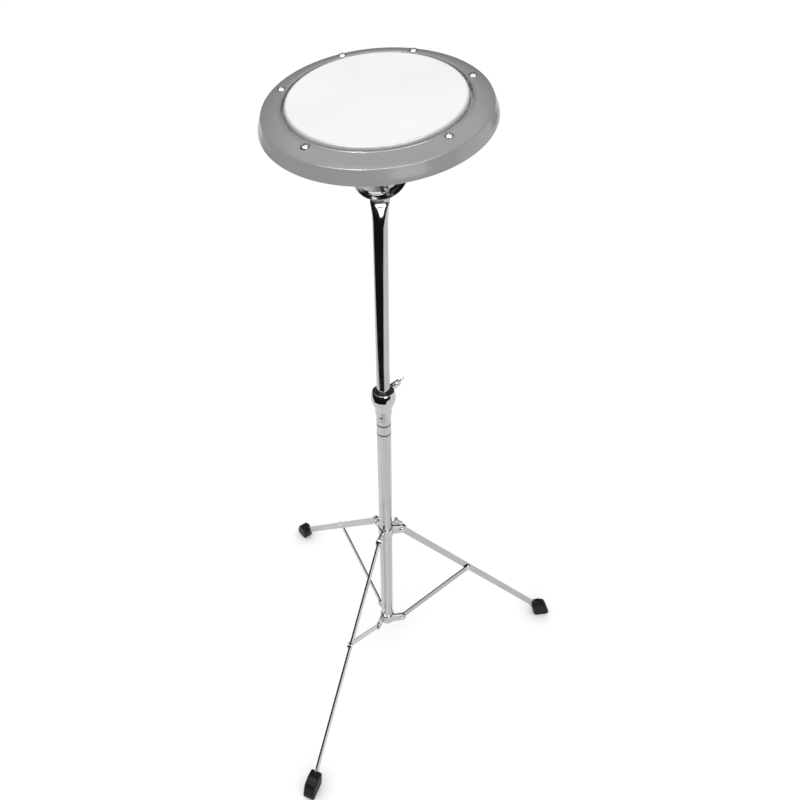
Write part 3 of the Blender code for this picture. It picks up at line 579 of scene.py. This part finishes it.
def area_light(name, place, aim, size, power):
    data = bpy.data.lights.new(name, "AREA")
    data.shape = "SQUARE"
    data.size = size
    data.energy = power
    light = bpy.data.objects.new(name, data)
    bpy.context.scene.collection.objects.link(light)
    light.location = place
    light.rotation_euler = (Vector(aim) - Vector(place)).to_track_quat("-Z", "Y").to_euler()
    light.visible_glossy = False


def add_studio():
    far = FLOOR_REACH
    corners = [(-far, -far, 0), (far, -far, 0), (far, far, 0), (-far, far, 0)]
    sheet("floor", corners, floor_look())
    add_world()
    add_cards()
    target = MAST.translation + UP * 0.6
    area_light("ceiling", target + Vector((-0.3, -0.2, 1.9)), target, 1.6, 4)
    area_light("front_left", target + Vector((-1.4, -1.7, 1.5)), target, 0.35, 2)
    area_light("front", target + Vector((0.2, -2.4, 0.3)), target + UP * 0.4, 1.2, 7)
    bpy.context.scene.view_settings.view_transform = "Standard"


# ---------------------------------------------------------------- mast

LOWER_TUBE_WALL = 1.1 * MM
CLAMP_LIP = 15.7 * MM
CLAMP_BULGE = 18.4 * MM
CLAMP_SKIRT = 12.8 * MM
PRESSED_BELOW_BEND = 26 * MM
CREASE_ABOVE_BEND = 4.5 * MM
UPPER_TUBE_R = 9.5 * MM
FLAT_HALF_WIDTH = 12.0 * MM
FLAT_HALF_THICK = 2.6 * MM
FLAT_END_ROUND = 9 * MM
PUNCH_MARKS = ((0.5574, -111, 2.5 * MM), (0.5493, -106, 1.6 * MM))  # height, azimuth, radius
PUNCH_BOUNDS = (0.562, 0.5532, 0.5522, 0.546)  # rings of points above and below each mark
PRINTED_RINGS = (0.5404, 0.5228)


def radius_of(node):
    low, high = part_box(node)
    return (high.x - low.x) / 2


def build_lower_tube():
    low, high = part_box("lower_tube")
    outer = radius_of("lower_tube")
    inner = outer - LOWER_TUBE_WALL
    edge = 0.35 * MM
    corners = [(inner, high.z, edge), (outer, high.z, edge)]
    corners += [(outer, height) for height in PUNCH_BOUNDS]
    corners += [(outer, low.z, edge), (inner, low.z, edge)]
    tube = lathe("mast_lower_tube", rounded(corners), MAST)
    for height, azimuth, size in PUNCH_MARKS:
        out = Vector((math.cos(math.radians(azimuth)), math.sin(math.radians(azimuth)), 0))
        frame_here = moved(MAST, z=height) @ out.to_track_quat("Z", "Y").to_matrix().to_4x4()
        punch = [(0, -0.9), (0.65, -0.7), (0.94, -0.2), (1, 3), (0, 3)]
        punch = [(r * size, outer + z * MM) for r, z in punch]
        cut(tube, lathe("punch", punch, frame_here, 24))
    look = tube_with_rings(PRINTED_RINGS, 1.2 * MM).material
    dress(tube, look, "stand", "chrome", "lower_tube", weighted=False)


def build_height_clamp():
    low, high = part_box("height_clamp")
    top, bottom = high.z, low.z
    bush_bore = radius_of("nylon_bush") + 0.4 * MM
    tube_bore = radius_of("lower_tube") + 0.3 * MM
    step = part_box("lower_tube")[1].z + 0.3 * MM
    drops = [(CLAMP_LIP, 0, 0.35), (16.8 * MM, 2.4, 0.8), (17.8 * MM, 6.0, 2), (CLAMP_BULGE, 12.0, 1.2)]
    drops += [(17.4 * MM, 18.5, 4), (14.6 * MM, 25.5, 4), (13.0 * MM, 30.5, 2), (CLAMP_SKIRT, 33, 1)]
    corners = [(radius, top - drop * MM, cut_by * MM) for radius, drop, cut_by in drops]
    corners += [(CLAMP_SKIRT, bottom, 0.5 * MM), (tube_bore, bottom, 0.3 * MM), (tube_bore, step)]
    corners += [(bush_bore, step), (bush_bore, top, 0.5 * MM)]
    clamp = lathe("height_clamp_body", rounded(corners, steps=6), MAST, 128)
    screw_frame = screw_frame_of("height_screw_turn")
    boss = [(0, 15.2), (6.0, 15.2, 0.3), (5.5, 18.5, 2), (5.4, 25.7, 0.3), (5.1, 26.4, 0.3)]
    boss += [(3.4, 26.4, 0.2), (3.4, 22), (0, 22)]
    union(clamp, lathe("boss", rounded(in_mm(boss)), screw_frame, 48))
    dress(clamp, CHROME, "stand", "chrome", "height_clamp", sharp=38)


def build_nylon_bush():
    low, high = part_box("nylon_bush")
    inner, outer = 9.75 * MM, radius_of("nylon_bush")
    top, bottom = high.z, low.z
    corners = [(inner, bottom), (inner, top, 1.2 * MM), (outer, top, 0.5 * MM), (outer, bottom)]
    bush = lathe("clamp_bush", rounded(corners), MAST)
    slit = moved(turned_by(MAST, -58, "Z"), x=12 * MM, z=(top + bottom) / 2)
    outline = in_mm([(-5, -0.8), (5, -0.8), (5, 0.8), (-5, 0.8)])
    cut(bush, plate("slit", outline, 0.04, slit, 0.01 * MM))
    dress(bush, NYLON, "mast_bush", "black_nylon", "nylon_bush")


def wing(reach, waist, tip, lift=0.0):
    """Outline of a wing screw's blade, narrow in the middle with a round lobe at each end."""
    lobe = arc(tip, -100, 120, 14, (reach - tip, lift + 0.45 * tip))
    half = [Vector((0.35 * reach, -waist)), *lobe, Vector((0.35 * reach, waist))]
    return half + [Vector((-p.x, p.y)) for p in reversed(half)]


def build_height_screw():
    screw_frame = turned_by(screw_frame_of("height_screw_turn"), 127, "Z")
    hub = [(0, 36.6), (4.0, 36.6, 1.5), (5.0, 34.6, 1), (5.0, 28.6, 0.6), (4.2, 27.0, 0.4)]
    hub += [(2.8, 27.0), (2.8, 16), (0, 16)]
    hub = rounded(in_mm(hub), closed=False)
    screw = lathe("height_wing_screw_body", hub, screw_frame, SMALL_STEPS)
    blade_frame = moved(turned_by(screw_frame, 90, "X"), y=35.2 * MM)
    blade = plate("blade", wing(12 * MM, 3.6 * MM, 4 * MM), 2.4 * MM, blade_frame, 0.7 * MM)
    union(screw, blade)
    dress(screw, CHROME, "height_screw", "chrome", "height_wing_screw")


def build_upper_tube():
    """Round tube pressed flat at its top: the flat face widens from a point, then leans forward."""
    low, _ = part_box("upper_tube")
    radius, half_width, half_thick = UPPER_TUBE_R, FLAT_HALF_WIDTH, FLAT_HALF_THICK
    inverse = MAST.inverted() @ FLAT_END
    across, rise, facing = (inverse.col[k].to_3d() for k in range(3))
    level = Vector((facing.x, facing.y, 0)).normalized()
    bolt = inverse.translation
    sideways = bolt.dot(across)
    bend = bolt - sideways * across
    bend = bend - rise * (bend.dot(level) / rise.dot(level))  # where the flat's middle meets the axis
    press_from = bend.z - PRESSED_BELOW_BEND
    foot = low.z + 0.4 * MM
    sections = [(Vector((0, 0, foot)), level, 0.0, -0.4 * MM)]
    heights = (foot + 0.5 * MM, 0.5, 0.7, press_from - 5 * MM, press_from)
    sections += [(Vector((0, 0, z)), level, 0.0, 0) for z in heights]
    pressed = PRESSED_BELOW_BEND + CREASE_ABOVE_BEND
    count = 26
    for k in range(1, count + 1):
        way_up = pressed * k / count - PRESSED_BELOW_BEND
        lean = min(max((way_up + 2 * MM) / (4 * MM), 0), 1)  # the bend itself is 4 mm long
        middle_here = bend + (rise if way_up > 0 else UP) * way_up
        facing_here = (level * (1 - lean) + facing * lean).normalized()
        sections.append((middle_here, facing_here, (k / count) ** 2.3, 0))
    sections.append((bend + rise * (CREASE_ABOVE_BEND + 0.5 * MM), facing, 1.0, 0))
    top = (bolt - bend).dot(rise) + 11 * MM
    straight_top = top - FLAT_END_ROUND
    sections.append((bend + rise * straight_top, facing, 1.0, 0))
    for k in range(1, 9):
        angle = math.radians(90 * k / 8)
        narrow = half_width * (1 - math.cos(angle))
        place = bend + rise * (straight_top + FLAT_END_ROUND * math.sin(angle))
        sections.append((place, facing, 1.0, -min(narrow, half_width - 0.5 * MM)))
    rings = []
    for place, way, flatness, inset in sections:
        wide = radius + (half_width - radius) * flatness
        thick = radius + (half_thick - radius) * flatness
        power = 1 - 0.42 * flatness
        narrowed = 1 + inset / wide
        squeezed = narrowed if flatness == 0 else 1
        points = []
        for p in ring(1, 64):
            x = wide * narrowed * math.copysign(abs(p.x) ** power, p.x)
            y = thick * squeezed * math.copysign(abs(p.y) ** power, p.y)
            points.append(place + across * x + way * y)
        rings.append(points)
    tube = loft("mast_upper_tube", rings, MAST)
    dress(tube, CHROME_TUBE, "mast", "chrome", "upper_tube", sharp=30)


# ---------------------------------------------------------------- tilter

MOON_R = 31.5 * MM
MOON_CENTRE = 23 * MM
MOON_TOP = 29 * MM
SHEET = 2 * MM
HEAD_EDGE = 0.35 * MM


def moon_ring(inset, depth):
    """The half-moon's outline drawn in by inset: its round lower edge, then its straight top."""
    radius = MOON_R - inset
    lower = arc(radius, 180, 360, 61, (0, MOON_CENTRE))
    top = MOON_TOP - inset
    corner = 2.5 * MM
    right = arc(corner, 0, 90, 6, (radius - corner, top - corner))
    left = arc(corner, 90, 180, 6, (corner - radius, top - corner))
    return [(p.x, p.y, depth) for p in lower + right + left]


def build_tilter():
    low_face = 2.9 * MM
    sideways = (TILTER.inverted() @ FLAT_END.translation).x
    moon_frame = moved(TILTER, x=sideways - bolt_offset())
    profile = [(12.0, 0), (3.0, 0, 1.0), (0, 0, 2.6), (0, 5, 1), (0, 10, 0.5), (1.1, 10, 0.5)]
    profile += [(1.4, 5, 1), (1.8, 2.0, 1.6), (12.0, 2.0)]
    points = rounded(in_mm(profile), closed=False, steps=5)
    rings = [moon_ring(inset, low_face + depth) for inset, depth in points]
    dish = loft("tilter_half_moon", rings, moon_frame)
    dress(dish, CHROME, "tilter", "chrome", "tilt_bracket", sharp=40)


def bolt_offset():
    """How far the bolt stands to the side of the flattened tube end's middle."""
    across = FLAT_END.col[0].to_3d()
    return (FLAT_END.translation - MAST.translation).dot(across)


def head_profile(seat, radius, rise, shank, end):
    """A domed screw head on its shank, from the middle of the head to the middle of the end."""
    dome = [(0, seat + rise)]
    for degrees in range(10, 91, 10):
        angle = math.radians(degrees)
        height = seat + HEAD_EDGE + (rise - HEAD_EDGE) * math.cos(angle)
        dome.append((radius * math.sin(angle), height))
    dome += [(radius, seat), (shank, seat), (shank, end), (0, end)]
    return dome


def cross_recess(width, reach, top, depth, matrix):
    """A cutter for a cross-shaped driver recess."""
    half = width / 2
    arm = [(reach, -half), (reach, half), (half, half), (half, reach), (-half, reach), (-half, half)]
    arm += [(-x, -y) for x, y in arm]
    rings = []
    for share, height in ((1.15, top + 1 * MM), (0.55, top - depth)):
        rings.append([(x * share, y * share, height) for x, y in arm])
    return loft("recess", rings, matrix)


def build_pivot():
    low = 2.9 * MM + SHEET + 0.3 * MM
    corners = in_mm([(3.3, 0), (3.3, 1.2, 0.2), (5.6, 1.2, 0.4), (5.6, 0, 0.2)], low)
    front = lathe("pivot_washer", rounded(corners), FLAT_END, SMALL_STEPS)
    dress(front, ZINC, "mast", "zinc_steel", "pivot_washer_front")
    seat = low + 1.5 * MM
    profile = head_profile(seat, 4.6 * MM, 3.4 * MM, 3 * MM, -19 * MM)
    bolt = lathe("pivot_bolt_body", profile, FLAT_END, SMALL_STEPS)
    cut(bolt, cross_recess(1.1 * MM, 2.3 * MM, seat + 3.4 * MM, 1.8 * MM, FLAT_END))
    dress(bolt, ZINC, "mast", "zinc_steel", "pivot_bolt")
    high = -2.9 * MM
    corners = in_mm([(3.3, -1.2), (3.3, 0), (6.6, 0, 0.4), (6.6, -1.2, 0.4)], high)
    back = lathe("pivot_washer_rear", rounded(corners), FLAT_END, SMALL_STEPS)
    dress(back, ZINC, "mast", "zinc_steel", "pivot_washer_back")


def build_tilt_nut():
    nut_frame = turned_by(moved(FLAT_END, z=-4.4 * MM), 180, "X")
    hub = [(3.1, 0), (6.4, 0, 0.6), (6.0, 2.4, 1), (4.6, 8.2, 1), (4.2, 8.6, 0.4), (3.1, 8.6)]
    nut = lathe("tilt_wing_nut_body", rounded(in_mm(hub)), nut_frame, SMALL_STEPS)
    blade_frame = turned_by(nut_frame, 90, "X")
    for side in (0, 180):
        outline = in_mm([(4.0, 1.2), (7, 1.4)])
        outline += arc(4.5 * MM, -80, 120, 14, (11 * MM, 6.6 * MM))
        outline += in_mm([(7, 8.0), (4.0, 6.8)])
        union(nut, plate("lobe", outline, 2.6 * MM, turned_by(blade_frame, side, "Y"), 0.7 * MM))
    dress(nut, CHROME, "tilt_nut", "chrome", "tilt_wing_nut")


def build_stem():
    """Stem on the half-moon, its threaded stud, the support plate with its rubber, and the nut."""
    top_of_plate = -24.5 * MM
    moon_top = (PAD.inverted() @ TILTER.translation).z + MOON_TOP
    foot = moon_top + 0.3 * MM
    plate_low = top_of_plate - 2.8 * MM
    shoulder = plate_low - 6.8 * MM
    corners = in_mm([(0, -12.5), (3.6, -12.5, 0.2), (4.0, -13.2, 0.2)])
    thread = -13.6 * MM
    while thread > shoulder + 1.2 * MM:
        corners += in_mm([(3.95, 0), (3.6, -0.6)], thread)
        thread -= 1.2 * MM
    corners += in_mm([(4.0, 0), (5.4, 0, 0.2), (6.5, -1.2, 0.5)], shoulder)
    corners += in_mm([(6.5, 4.2, 1.2), (7.8, 3.2, 0.8), (7.8, 0, 0.3), (0, 0)], foot)
    stem = lathe("pad_stem", rounded(corners, closed=False), PAD, SMALL_STEPS)
    dress(stem, CHROME, "tilter", "chrome", "pad_stud")
    hexagon = [tuple(p) for p in ring(7.4 * MM, 6)]
    nut_frame = moved(PAD, z=plate_low - 3.3 * MM)
    nut = plate("pad_lock_nut", hexagon, 5.5 * MM, nut_frame, 0.5 * MM, [ring(4.3 * MM, 24)])
    dress(nut, ZINC, "tilter", "zinc_steel", "stud_lock_nut")
    corners = [(4.3, 0), (26, 0, 1), (28.6, -0.6, 1), (30.0, -2.0, 0.6), (29.8, -2.7, 0.4), (28.4, -2.7, 0.6)]
    corners += [(26, -1.6, 1), (14, -1.6, 2), (12, -2.8, 1), (4.3, -2.8, 0.3)]
    support = lathe("pad_support", rounded(in_mm(corners, top_of_plate)), PAD)
    dress(support, CHROME, "tilter", "chrome", "support_plate")
    low = top_of_plate + 0.3 * MM
    corners = in_mm([(4.3, 0), (4.3, 3.0), (27.2, 3.0, 0.8), (27.5, 0, 0.8)], low)
    rubber = lathe("pad_support_rubber", rounded(corners), PAD)
    dress(rubber, RUBBER, "tilter", "black_rubber", "support_rubber")


# ---------------------------------------------------------------- pad

HEAD_R = 93.2 * MM


def pad_screw_frame(k):
    matrix = PAD.copy()
    matrix.translation = place_of(f"tension_screw_turn_{k + 1}")
    return matrix


def build_drumhead():
    r = HEAD_R
    t = 0.6 * MM
    top = [(0, 0), (0.03, 0), (0.06, 0), (0.08, 0), (r - 4.2 * MM, 0, 1.5 * MM)]
    top += [(r - 1.5 * MM, -0.5 * MM, 1.2 * MM)]
    top += [(r - 0.1 * MM, -2.1 * MM, 1.2 * MM), (r + 0.4 * MM, -4.6 * MM, 1 * MM), (r + 0.6 * MM, -9 * MM)]
    under = [(r, -9 * MM), (r - 0.2 * MM, -4.6 * MM), (r - 1.2 * MM, -1.9 * MM), (r - 4.3 * MM, -t), (0, -t)]
    head = lathe("drumhead_film", rounded(top, closed=False, steps=6) + under, PAD, PAD_STEPS)
    dress(head, coated_film(HEAD_R - 1.0 * MM).material, "pad", "coated_film", "drumhead", sharp=50)


def build_rim():
    """Inner bead, domed flange, shoulder and flared skirt, with a seat for each screw."""
    corners = [(96.6, -6.6, 0.4), (96.6, -2.5, 0.7), (98.3, -1.6, 0.5), (99.3, -2.5, 0.4), (100.6, -2.45, 1)]
    corners += [(103.5, -2.75, 1.5), (108.0, -3.75, 2), (113.5, -5.5, 2), (118.2, -7.7, 0.9)]
    corners += [(119.3, -10.4, 1.0), (120.8, -13.6, 1.5), (122.3, -16.9, 1.5), (123.7, -21.2, 0.7)]
    corners += [(121.2, -21.2, 0.5), (119.4, -15.0, 2), (117.0, -10.6, 2), (112.0, -8.3, 2)]
    corners += [(103.5, -6.6, 1)]
    rim = lathe("pad_cover_rim", rounded(in_mm(corners), steps=5), PAD, PAD_STEPS)
    for k in range(SCREW_COUNT):
        seat_frame = pad_screw_frame(k)
        seat = [(0, -4.0), (4.7, -4.0), (4.9, -3.4), (5.0, -2.0), (5.0, 2), (0, 2)]
        cut(rim, lathe("seat", in_mm(seat), seat_frame, 32))
    dress(rim, GRAY, "pad", "gray_plastic", "pad_rim", sharp=38)


def build_tension_screws():
    for k in range(SCREW_COUNT):
        screw_frame = pad_screw_frame(k)
        profile = head_profile(-3.9 * MM, 4.4 * MM, 2.8 * MM, 1.9 * MM, -16.5 * MM)
        screw = lathe(f"rim_screw_{k + 1}", profile, screw_frame, SMALL_STEPS)
        turned = turned_by(screw_frame, 17 + 31 * k, "Z")  # no two recesses stand alike
        cut(screw, cross_recess(1.2 * MM, 2.4 * MM, -1.1 * MM, 1.8 * MM, turned))
        body = f"tension_screw_body_{k + 1}"
        dress(screw, ZINC, body, "zinc_steel", f"tension_screw_{k + 1}")


def build_base():
    """Black base: bearing edge, recessed ribbed underside, and a boss round the middle insert."""
    edge = HEAD_R - 2.2 * MM
    floor, low = -17.0 * MM, -20.5 * MM
    corners = [(edge - 3 * MM, floor), (edge - 3 * MM, -2.3 * MM, 0.3 * MM)]
    corners += [(edge - 1.5 * MM, -1.3 * MM, 0.9 * MM), (edge, -3.6 * MM, 1 * MM)]
    corners += [(edge, floor + 0.5 * MM, 0.4 * MM), (110 * MM, floor, 0.5 * MM)]
    grooves = [(110, 0, 0.8), (105.5, 0, 0.5), (105.0, 2, 0.5), (75.5, 2, 0.5), (75, 0, 0.4)]
    grooves += [(61, 0, 0.4), (60.5, 2, 0.5), (34.5, 2, 0.5), (34, 0, 0.4), (10.4, 0, 0.3)]
    corners += in_mm(grooves, low)
    corners += in_mm([(10.4, -10.5), (12.8, -10.5), (12.8, -17.0)])
    base = lathe("pad_base_shell", rounded(corners), PAD, PAD_STEPS)
    for count, inner, outer in ((12, 33.5, 61.5), (24, 74.5, 105.8)):
        for k in range(count):
            rib_frame = moved(turned_by(PAD, 360 * k / count, "Z"), z=low + 1.35 * MM)
            a, b, w = inner * MM, outer * MM, 0.8 * MM
            rib = plate("rib", [(a, -w), (b, -w), (b, w), (a, w)], 2.3 * MM, rib_frame, 0.2 * MM)
            union(base, rib)
    post = in_mm([(3.6, -11.8), (5.2, -11.8), (5.6, -12.2), (5.6, -18), (3.6, -18)])
    for k in range(SCREW_COUNT):
        union(base, lathe("post", post, pad_screw_frame(k), 32))
    dress(base, BLACK_PLASTIC, "pad", "base_plastic", "pad_base", sharp=38)


def build_anti_slip_ring():
    corners = [(64, -20.8), (72, -20.8), (71.4, -22.8, 0.5), (70.0, -22.8, 0.4), (68.6, -22.2, 0.5)]
    corners += [(67.4, -22.2, 0.5), (66.0, -22.8, 0.4), (64.6, -22.8, 0.5)]
    grip = lathe("base_grip_ring", rounded(in_mm(corners)), PAD, PAD_STEPS)
    dress(grip, RUBBER, "pad", "black_rubber", "anti_slip_ring")


# ---------------------------------------------------------------- tripod

SPREAD = 120  # degrees from one leg to the next
EAR_R = 8.5 * MM
EAR = 1.5 * MM
COLLAR_R = 12.2 * MM  # middle of the band's wall
COLLAR_HALF = 9.5 * MM
LEG_THICK = 3 * MM
BRACE_THICK = 2.5 * MM
BRACE_SIDE = 6.35 * MM  # middle of a brace beside the middle of its leg
BRACE_END_SIDE = 3.05 * MM
BOLT_SHANK = 2.2 * MM
STEEP_FROM_X = 0.291  # from here a leg bar is steeper, inside its boot
BAR_END = (0.305, 0.016)
FOOT_X = 0.317


def collar_path(side, reach):
    """Plan path and half heights of one pressed section, from one ear round the tube to the next."""
    ears = []
    for turn, offset in ((0, reach - side), (SPREAD, -reach - side)):
        tangent = math.sqrt((COLLAR_R + 1.6 * MM) ** 2 - offset**2)
        stations = []
        pivot = BRACE_PIVOT.x
        for k in range(10):
            angle = math.radians(8 + 82 * k / 9)
            stations.append((pivot + EAR_R * math.cos(angle), EAR_R * math.sin(angle)))
        for k in range(1, 5):
            share = k / 4
            stations.append((pivot + (tangent - pivot) * share, EAR_R + (COLLAR_HALF - EAR_R) * share))
        rotation = Matrix.Rotation(math.radians(turn), 2)
        ears.append([(rotation @ Vector((x, offset)), h) for x, h in stations])
    first, last = ears[0], list(reversed(ears[1]))
    start = math.degrees(math.atan2(first[-1][0].y, first[-1][0].x))
    stop = math.degrees(math.atan2(last[0][0].y, last[0][0].x))
    band = [(p, COLLAR_HALF) for p in arc(COLLAR_R, start + 12, stop - 12, 20)]
    turn_in = smooth_turn(first[-2][0], first[-1][0], band[0][0], band[1][0])
    turn_out = smooth_turn(band[-2][0], band[-1][0], last[0][0], last[1][0])
    stations = first + [(p, COLLAR_HALF) for p in turn_in] + band
    stations += [(p, COLLAR_HALF) for p in turn_out] + last
    return [s[0] for s in stations], [s[1] for s in stations]


def smooth_turn(before, start, stop, after):
    """Points between start and stop on a curve that leaves and arrives in line with its neighbours."""
    length = (stop - start).length * 0.55
    one = start + (start - before).normalized() * length
    two = stop - (after - stop).normalized() * length
    points = []
    for k in range(1, 5):
        t = k / 5
        near_start = (1 - t) ** 3 * start + 3 * t * (1 - t) ** 2 * one
        points.append(near_start + 3 * t * t * (1 - t) * two + t**3 * stop)
    return points


def first_leg_turn():
    out = leg_plane(0).col[0]
    return math.degrees(math.atan2(out.y, out.x))


def build_collar(label, height, side, half_gap, body):
    path, heights = collar_path(side, half_gap + 0.3 * MM + EAR / 2)
    for k in range(LEG_COUNT):
        section_frame = turned_by(moved(MAST, z=height), first_leg_turn() + SPREAD * k, "Z")
        name = f"{label}_section_{k + 1}"
        section = ribbon(name + "_pressing", path, heights, EAR, section_frame)
        if label == "upper_collar" and k == 0:
            screw_frame = screw_frame_of("collar_screw_turn")
            boss = [(0, 11.9), (6.4, 11.9, 0.5), (5.4, 14.0, 1), (5.2, 18.6, 0.3)]
            boss += [(4.9, 19.0), (3.2, 19.0), (3.2, 14), (0, 14)]
            union(section, lathe("boss", rounded(in_mm(boss)), screw_frame, SMALL_STEPS))
        dress(section, CHROME, body, "chrome", name, sharp=40)


def build_collar_screw():
    screw_frame = screw_frame_of("collar_screw_turn")
    hub = [(0, 29.6), (3.6, 29.6, 1.2), (4.6, 28.0, 0.8), (4.6, 20.6, 0.6), (3.8, 19.4, 0.3)]
    hub += [(2.6, 19.4), (2.6, 13), (0, 13)]
    hub = rounded(in_mm(hub), closed=False)
    screw = lathe("collar_thumb_screw_body", hub, screw_frame, SMALL_STEPS)
    blade_frame = moved(turned_by(screw_frame, 90, "X"), y=28.2 * MM)
    blade = plate("blade", wing(9.5 * MM, 3.2 * MM, 3.5 * MM), 2.4 * MM, blade_frame, 0.7 * MM)
    union(screw, blade)
    dress(screw, CHROME, "collar_screw", "chrome", "collar_thumb_screw")


def cross_bolt(name, place, low, high, radius, rise, k):
    """A pivot bolt across leg k: a dome on one side and an acorn end on the other."""
    bolt_frame = moved(leg_plane(k), x=place.x, y=place.y)
    profile = head_profile(high, radius, rise, BOLT_SHANK, (low + high) / 2)
    bolt = lathe(name, profile, bolt_frame, SMALL_STEPS)
    other_frame = turned_by(bolt_frame, 180, "X")
    tip, step = -low + rise, -low + rise * 0.55
    root = -(low + high) / 2 - 0.5 * MM
    end = [(0, tip), (radius * 0.55, tip, 0.5 * MM), (radius * 0.7, step, 0.2 * MM)]
    end += [(radius, step, 0.2 * MM), (radius, -low), (BOLT_SHANK, -low), (BOLT_SHANK, root), (0, root)]
    union(bolt, lathe("end", rounded(end, closed=False), other_frame, SMALL_STEPS))
    return bolt


def build_leg(k):
    """Flat bar on edge, straight to just above the foot and steeper inside it."""
    direction = (KNEE - LEG_PIVOT).normalized()
    half = 6 * MM
    steep_from = LEG_PIVOT + direction * ((STEEP_FROM_X - LEG_PIVOT.x) / direction.x)
    end = Vector(BAR_END)
    last = (end - steep_from).normalized()
    side, last_side = (Vector((-v.y, v.x)) for v in (direction, last))
    mitre = (side + last_side).normalized() * half
    slope = math.degrees(math.atan2(direction.y, direction.x))
    outline = arc(half, slope + 90, slope + 270, 24, LEG_PIVOT)
    under, over, run_up = steep_from - mitre, steep_from + mitre, direction * 0.02
    bend = [tuple(under - run_up), (*under, 5 * MM), tuple(end - last_side * half)]
    back = [tuple(end + last_side * half), (*over, 5 * MM), tuple(over - run_up)]
    bend, back = rounded(bend, closed=False), rounded(back, closed=False)
    bar = plate(f"leg_bar_{k + 1}", outline + bend + back, LEG_THICK, leg_plane(k), 0.35 * MM)
    dress(bar, CHROME_BAR, f"leg_body_{k + 1}", "chrome", f"leg_{k + 1}")


def build_brace(k):
    """Flat bar that runs slightly aslant from the lower collar, to lie against the leg at its end."""
    link = KNEE - BRACE_PIVOT
    slope = math.degrees(math.atan2(link.y, link.x))
    length = link.length
    half = 5 * MM
    pivot_frame = moved(leg_plane(k), x=BRACE_PIVOT.x, y=BRACE_PIVOT.y)
    bar_frame = turned_by(turned_by(pivot_frame, slope, "Z"), 90, "X")
    path, heights = [], []
    for x, height in end_stations(-5.4 * MM, half, 1):
        path.append(Vector((x, BRACE_SIDE)))
        heights.append(height)
    start, end = Vector((14 * MM, BRACE_SIDE)), Vector((length - 9 * MM, BRACE_END_SIDE))
    for step in range(9):
        path.append(start.lerp(end, step / 8))
        heights.append(half)
    for x, height in reversed(end_stations(length + 6.4 * MM, half, -1)):
        path.append(Vector((x, BRACE_END_SIDE)))
        heights.append(height)
    bar = ribbon(f"brace_bar_{k + 1}", path, heights, BRACE_THICK, bar_frame)
    dress(bar, CHROME_BAR, f"brace_body_{k + 1}", "chrome", f"brace_{k + 1}", sharp=28)


def end_stations(end, half, way):
    """Places and half heights along a round bar end, from its tip inwards."""
    stations = []
    for k in range(9):
        angle = math.radians(10 + 80 * k / 8)
        stations.append((end + way * half * (1 - math.cos(angle)), half * math.sin(angle)))
    return stations


def build_foot(k):
    """Rubber boot: a wedge with rounded edges and a flat sole, pushed over the bar's end."""
    corners = [(-12, 0, 1.5), (13, 0, 2), (15, 4, 2), (13, 12, 3), (6.5, 26.5, 4), (-6, 32, 4)]
    corners += [(-19, 29, 2), (-20, 24, 2), (-16.5, 6, 3)]
    outline = rounded([(FOOT_X + x * MM, y * MM, c * MM) for x, y, c in corners], steps=5)
    boot = plate(f"rubber_foot_{k + 1}", outline, 19 * MM, leg_plane(k), 2.2 * MM)
    dress(boot, RUBBER, f"leg_body_{k + 1}", "black_rubber", f"foot_{k + 1}", sharp=40)


def build_tripod():
    build_collar("lower_collar", BRACE_PIVOT.y, BRACE_SIDE, BRACE_THICK / 2, "stand")
    build_collar("upper_collar", LEG_PIVOT.y, 0.0, LEG_THICK / 2, "upper_collar")
    build_collar_screw()
    upper = LEG_THICK / 2 + 0.6 * MM + EAR
    near = BRACE_SIDE - BRACE_THICK / 2 - 0.6 * MM - EAR
    far = BRACE_SIDE + BRACE_THICK / 2 + 0.6 * MM + EAR
    for k in range(LEG_COUNT):
        number = k + 1
        build_leg(k)
        build_brace(k)
        build_foot(k)
        bolt = cross_bolt(f"leg_bolt_{number}", LEG_PIVOT, -upper, upper, 4.2 * MM, 2.4 * MM, k)
        dress(bolt, ZINC, "upper_collar", "zinc_steel", f"leg_pivot_bolt_{number}")
        bolt = cross_bolt(f"brace_bolt_{number}", BRACE_PIVOT, near, far, 4.0 * MM, 1.2 * MM, k)
        dress(bolt, ZINC, "stand", "zinc_steel", f"lower_pivot_bolt_{number}")
        outer = BRACE_END_SIDE + BRACE_THICK / 2 + 0.1 * MM
        inner = -LEG_THICK / 2 - 0.1 * MM
        rivet = cross_bolt(f"knee_rivet_{number}", KNEE, inner, outer, 4.0 * MM, 1.6 * MM, k)
        dress(rivet, ZINC, f"leg_body_{number}", "zinc_steel", f"brace_rivet_{number}")


def finish_hidden_nodes():
    """Finishes for the CAD nodes that stay as they are."""
    looks = {"flesh_hoop": ZINC, "centre_insert": ZINC, "foam_disc": FOAM}
    looks.update({f"screw_insert_{k + 1}": BRASS for k in range(SCREW_COUNT)})
    for name, look in looks.items():
        node = frame["nodes"][name]
        node.data.materials.clear()
        node.data.materials.append(look)


def main():
    add_camera()
    add_studio()
    build_lower_tube()
    build_height_clamp()
    build_nylon_bush()
    build_height_screw()
    build_upper_tube()
    build_tilter()
    build_pivot()
    build_tilt_nut()
    build_stem()
    build_drumhead()
    build_rim()
    build_tension_screws()
    build_base()
    build_anti_slip_ring()
    build_tripod()
    finish_hidden_nodes()


main()
